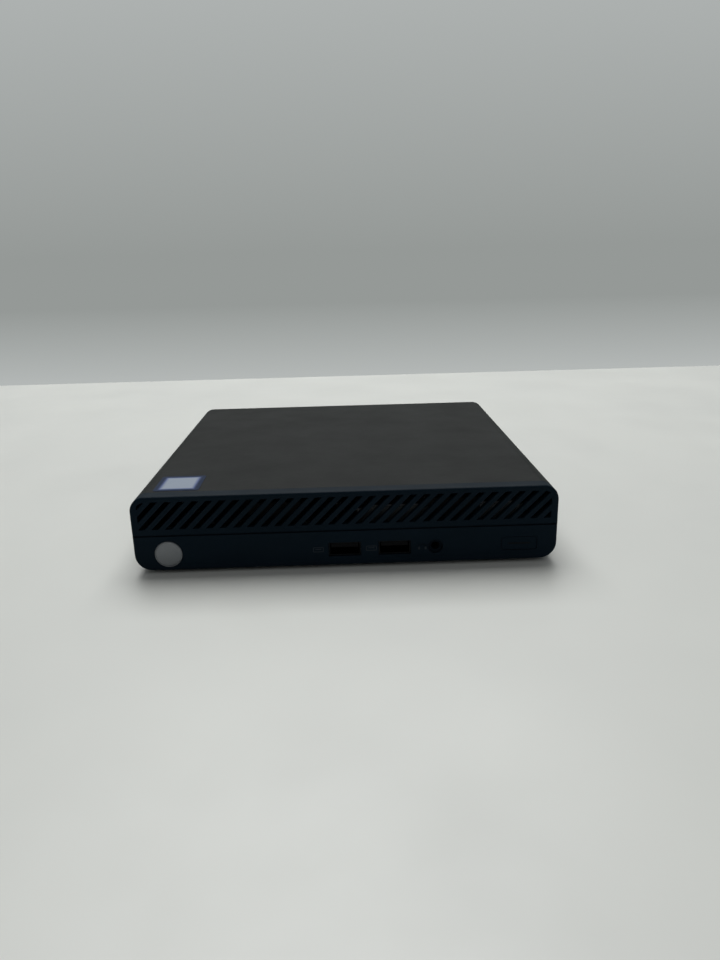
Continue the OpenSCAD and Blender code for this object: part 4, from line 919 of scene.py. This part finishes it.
# %% [markdown]
# ## Memory, wireless card and capacitors
#
# The packages on the memory modules are black epoxy with a dot that marks the first pin, and
# small capacitors stand in a row behind them. The wireless card wears a tinned shield over its
# chips, and its two aerial sockets have gold rings. The electrolytic cans have a black
# segment printed on top, which shows the negative side.

# %% Memory packages
# Each module has four packages, a hair larger than the plain blocks of the frame that they
# cover, and twenty capacitors behind them.
package_wide, package_deep, package_pitch = 12.9 * MM, 12 * MM, 14.9 * MM
over, small_half, small_end, small_pitch = 0.05 * MM, 0.6 * MM, 0.9 * MM, 2.9 * MM
module_low, module_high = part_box("memory_modules")
packages, small, tips, dots = bmesh.new(), bmesh.new(), bmesh.new(), bmesh.new()
for top, front in ((module_low.z + 2.1 * MM, module_low.y + 7 * MM),
                   (module_high.z, module_low.y)):
    for i in range(4):
        x, y = module_low.x + 5 * MM + package_pitch * i, front + 11 * MM
        block(packages, (x - over, y - over, top - 0.85 * MM),
              (x + package_wide + over, y + package_deep + over, top + over), 0.12)
        turned(dots, [(0, 0.07), (0.4, 0.07), (0.4, -0.02), (0, -0.02)],
               (x + 1.2 * MM, y + 1.2 * MM, top), (0, 0, 1), 12)
    for i in range(20):
        x, y = module_low.x + 6 * MM + small_pitch * i, front + 8.6 * MM
        block(small, *around(x, y, small_half, 0.45 * MM, top - 0.9 * MM, top - 0.3 * MM), 0.03)
        for side in (-1, 1):
            block(tips, (x + side * small_half, y - 0.45 * MM, top - 0.92 * MM),
                  (x + side * small_end, y + 0.45 * MM, top - 0.28 * MM), 0.05)
piece("memory_packages", packages, black_epoxy, "chassis")
piece("memory_dots", dots, grey_ink, "chassis")
piece("memory_ceramics", small, tan.material, "chassis")
piece("memory_terminals", tips, solder, "chassis")

# %% Wireless card
card_low, card_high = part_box("wireless_card")
card_middle = (card_low + card_high) / 2
shield_wide, shield_deep = 16.1 * MM, 15.1 * MM
shape = bmesh.new()
block(shape, *around(card_middle.x + 1 * MM, card_middle.y, shield_wide / 2, shield_deep / 2,
                     card_high.z - 1.2 * MM, card_high.z + 0.05 * MM), 0.35, 2)
piece("card_shield", shape, solder, "chassis")
shape = bmesh.new()
for side in (-5, 5):
    turned(shape, [(1.08, 0), (1.35, 0.1), (1.35, 0.95), (1.22, 1.1), (1.08, 1.1)],
           (card_high.x - 3 * MM, card_middle.y + side * MM, card_low.z + 0.9 * MM),
           (0, 0, 1), 20)
piece("card_rings", shape, gold_flash, "chassis", smooth=True)

# %% Marks on the cans
black_ink = Finish("Printing ink, black", "#0E0F11", 0.5, edge_mm=0)
black_ink.mottle("#17181A", 1.5, 0.7)
shape = bmesh.new()
for low, high in islands("capacitors"):
    middle, radius = (low + high) / 2, (high.x - low.x) / 2 - 0.7 * MM
    disc = bmesh.ops.create_circle(shape, cap_ends=True, segments=32, radius=radius)["verts"]
    bmesh.ops.translate(shape, verts=disc, vec=(middle.x, middle.y, high.z + 0.03 * MM))
    rim = dict.fromkeys(edge for vert in disc for edge in vert.link_edges)
    faces = dict.fromkeys(face for vert in disc for face in vert.link_faces)
    bmesh.ops.bisect_plane(shape, geom=[*disc, *rim, *faces],
                           plane_co=(middle.x - 0.4 * radius, 0, 0),
                           plane_no=(1, 0, 0), clear_outer=True)
bmesh.ops.solidify(shape, geom=shape.faces[:], thickness=0.02 * MM)
piece("can_marks", shape, black_ink.done(), "chassis")

# %% [markdown]
# ## Drive and blower
#
# The drive's lid is held by six small recessed screws and carries a paper label, which is
# left blank here. The blower's hub has a foil label that turns with it. The ribbon's
# ends are stiffened with blue film so that they can be pushed into the connectors.

# %% Drive label and lid screws
drive_low, drive_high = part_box("storage_drive")
paper = Finish("Paper label, coated", "#D9DAD6", 0.5, edge_mm=0)
paper.mottle("#CFD0CC", 15, 0.6)
# The label stops 9 mm from the drive's sides, 14 mm from one end and 24 mm from the other.
# Its print is a hairline frame, 1.6 mm in from the edge, and an empty grey panel at one end.
sheet_low, sheet_high = drive_low.xy + Vector((9, 14)) * MM, drive_high.xy - Vector((9, 24)) * MM
frame_in = 1.6 * MM
sheet_middle, sheet_half = (sheet_low + sheet_high) / 2, (sheet_high - sheet_low) / 2
inward = paper.depth((*sheet_middle, 0), (*sheet_half, 1))
hairline = paper.node("Math", [inward, frame_in, 0.15 * MM], operation="COMPARE")
paper.blend(hairline, "#5A5D60")
far_end = paper.node("Math", [paper.node("SeparateXYZ", [paper.place]).outputs["Y"],
                              sheet_high.y - 12 * MM], operation="GREATER_THAN")
framed = paper.node("Math", [inward, frame_in], operation="GREATER_THAN")
panel = paper.node("Math", [far_end, framed], operation="MULTIPLY")
paper.blend(paper.node("Math", [panel, 0.8], operation="MULTIPLY"), "#8B9196")
paper.patchy(0.42, 0.58, 6).grain(0.9, 0.006)
shape = bmesh.new()
block(shape, (*sheet_low, drive_high.z - 0.02 * MM), (*sheet_high, drive_high.z + 0.12 * MM), 0.05)
piece("drive_label", shape, paper.done(), "chassis")

shape = bmesh.new()
lid_screws = [(x, y) for x in (drive_low.x + 5 * MM, drive_high.x - 5 * MM)
              for y in (drive_low.y + 6 * MM, (drive_low.y + drive_high.y) / 2,
                        drive_high.y - 6 * MM)]
for x, y in lid_screws:
    turned(shape, [(0, 0.12), (0.75, 0.12), (0.8, 0.42), (1.7, 0.4), (1.95, 0.25), (1.95, -0.05),
                   (0, -0.05)],
           (x, y, drive_high.z), (0, 0, 1), 18)
piece("drive_lid_screws", shape, plated_steel, "chassis", smooth=True)

# %% Blower label
shaft_low, shaft_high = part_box("fan_shaft")
hub = ((shaft_low.x + shaft_high.x) / 2, (shaft_low.y + shaft_high.y) / 2,
       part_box("fan_rotor")[1].z)
foil_r, rim_wide = 8.0, 1.1
foil = Finish("Foil label, silver satin", "#9DA0A3", 0.36, edge_mm=0, metallic=0.8)
outer = foil.node("Math", [foil.spoke(hub, (1, 1, 0)), (foil_r - rim_wide) * MM],
                  operation="GREATER_THAN")
foil.blend(outer, "#2A2D30").patchy(0.3, 0.44, 4)
shape = bmesh.new()
turned(shape, [(0, 0.1), (foil_r - 0.1, 0.1), (foil_r, 0.06), (foil_r, -0.02), (0, -0.02)],
       hub, (0, 0, 1), 48)
piece("fan_label", shape, foil.done(), "fan_rotor")

# Its four wires, 1 mm thick, lie side by side on the lead and bend down into the plug.
lead_low, lead_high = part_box("fan_plug")
wire_half, wire_pitch = 0.5 * MM, 1.4 * MM
shape = bmesh.new()
for i in range(4):
    y = (lead_low.y + lead_high.y) / 2 + (i - 1.5) * wire_pitch
    block(shape, (lead_low.x, y - wire_half, lead_high.z - 0.3 * MM),
          (lead_low.x + 4.1 * MM, y + wire_half, lead_high.z + 0.6 * MM), 0.4, 3)
    block(shape, (lead_low.x + 3.5 * MM, y - wire_half, lead_high.z - 3.2 * MM),
          (lead_low.x + 4.4 * MM, y + wire_half, lead_high.z + 0.5 * MM), 0.4, 3)
piece("fan_wires", shape, pvc.material, "chassis", smooth=True)

# %% Ribbon ends
ribbon_low, ribbon_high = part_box("drive_ribbon")
strip_x = (ribbon_low.x + 1.2 * MM, ribbon_high.x - 1.2 * MM)
strip_y = ribbon_low.y + 1 * MM
stiff = Finish("Polyester film, blue", "#2A5FA8", 0.35, edge_mm=0)
stiff.mottle("#25549A", 6, 0.6).grain(0.8, 0.005)
shape = bmesh.new()
for low_z, high_z in ((ribbon_low.z + 2.5 * MM, ribbon_low.z + 5.2 * MM),
                      (ribbon_high.z - 2.6 * MM, ribbon_high.z - 0.1 * MM)):
    block(shape, (strip_x[0], strip_y - 0.08 * MM, low_z),
          (strip_x[1], strip_y + 0.38 * MM, high_z), 0.04)
piece("ribbon_stiffeners", shape, stiff.done(), "chassis")

# %% [markdown]
# ## Finish
#
# The last cell prints the size of the dressed computer, so that it can be compared with
# the size of the imported parts printed at the start.

# %% Size of the dressed computer
low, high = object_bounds()
print("dressed body", [round((b - a) / MM, 1) for a, b in zip(low, high)], "mm")
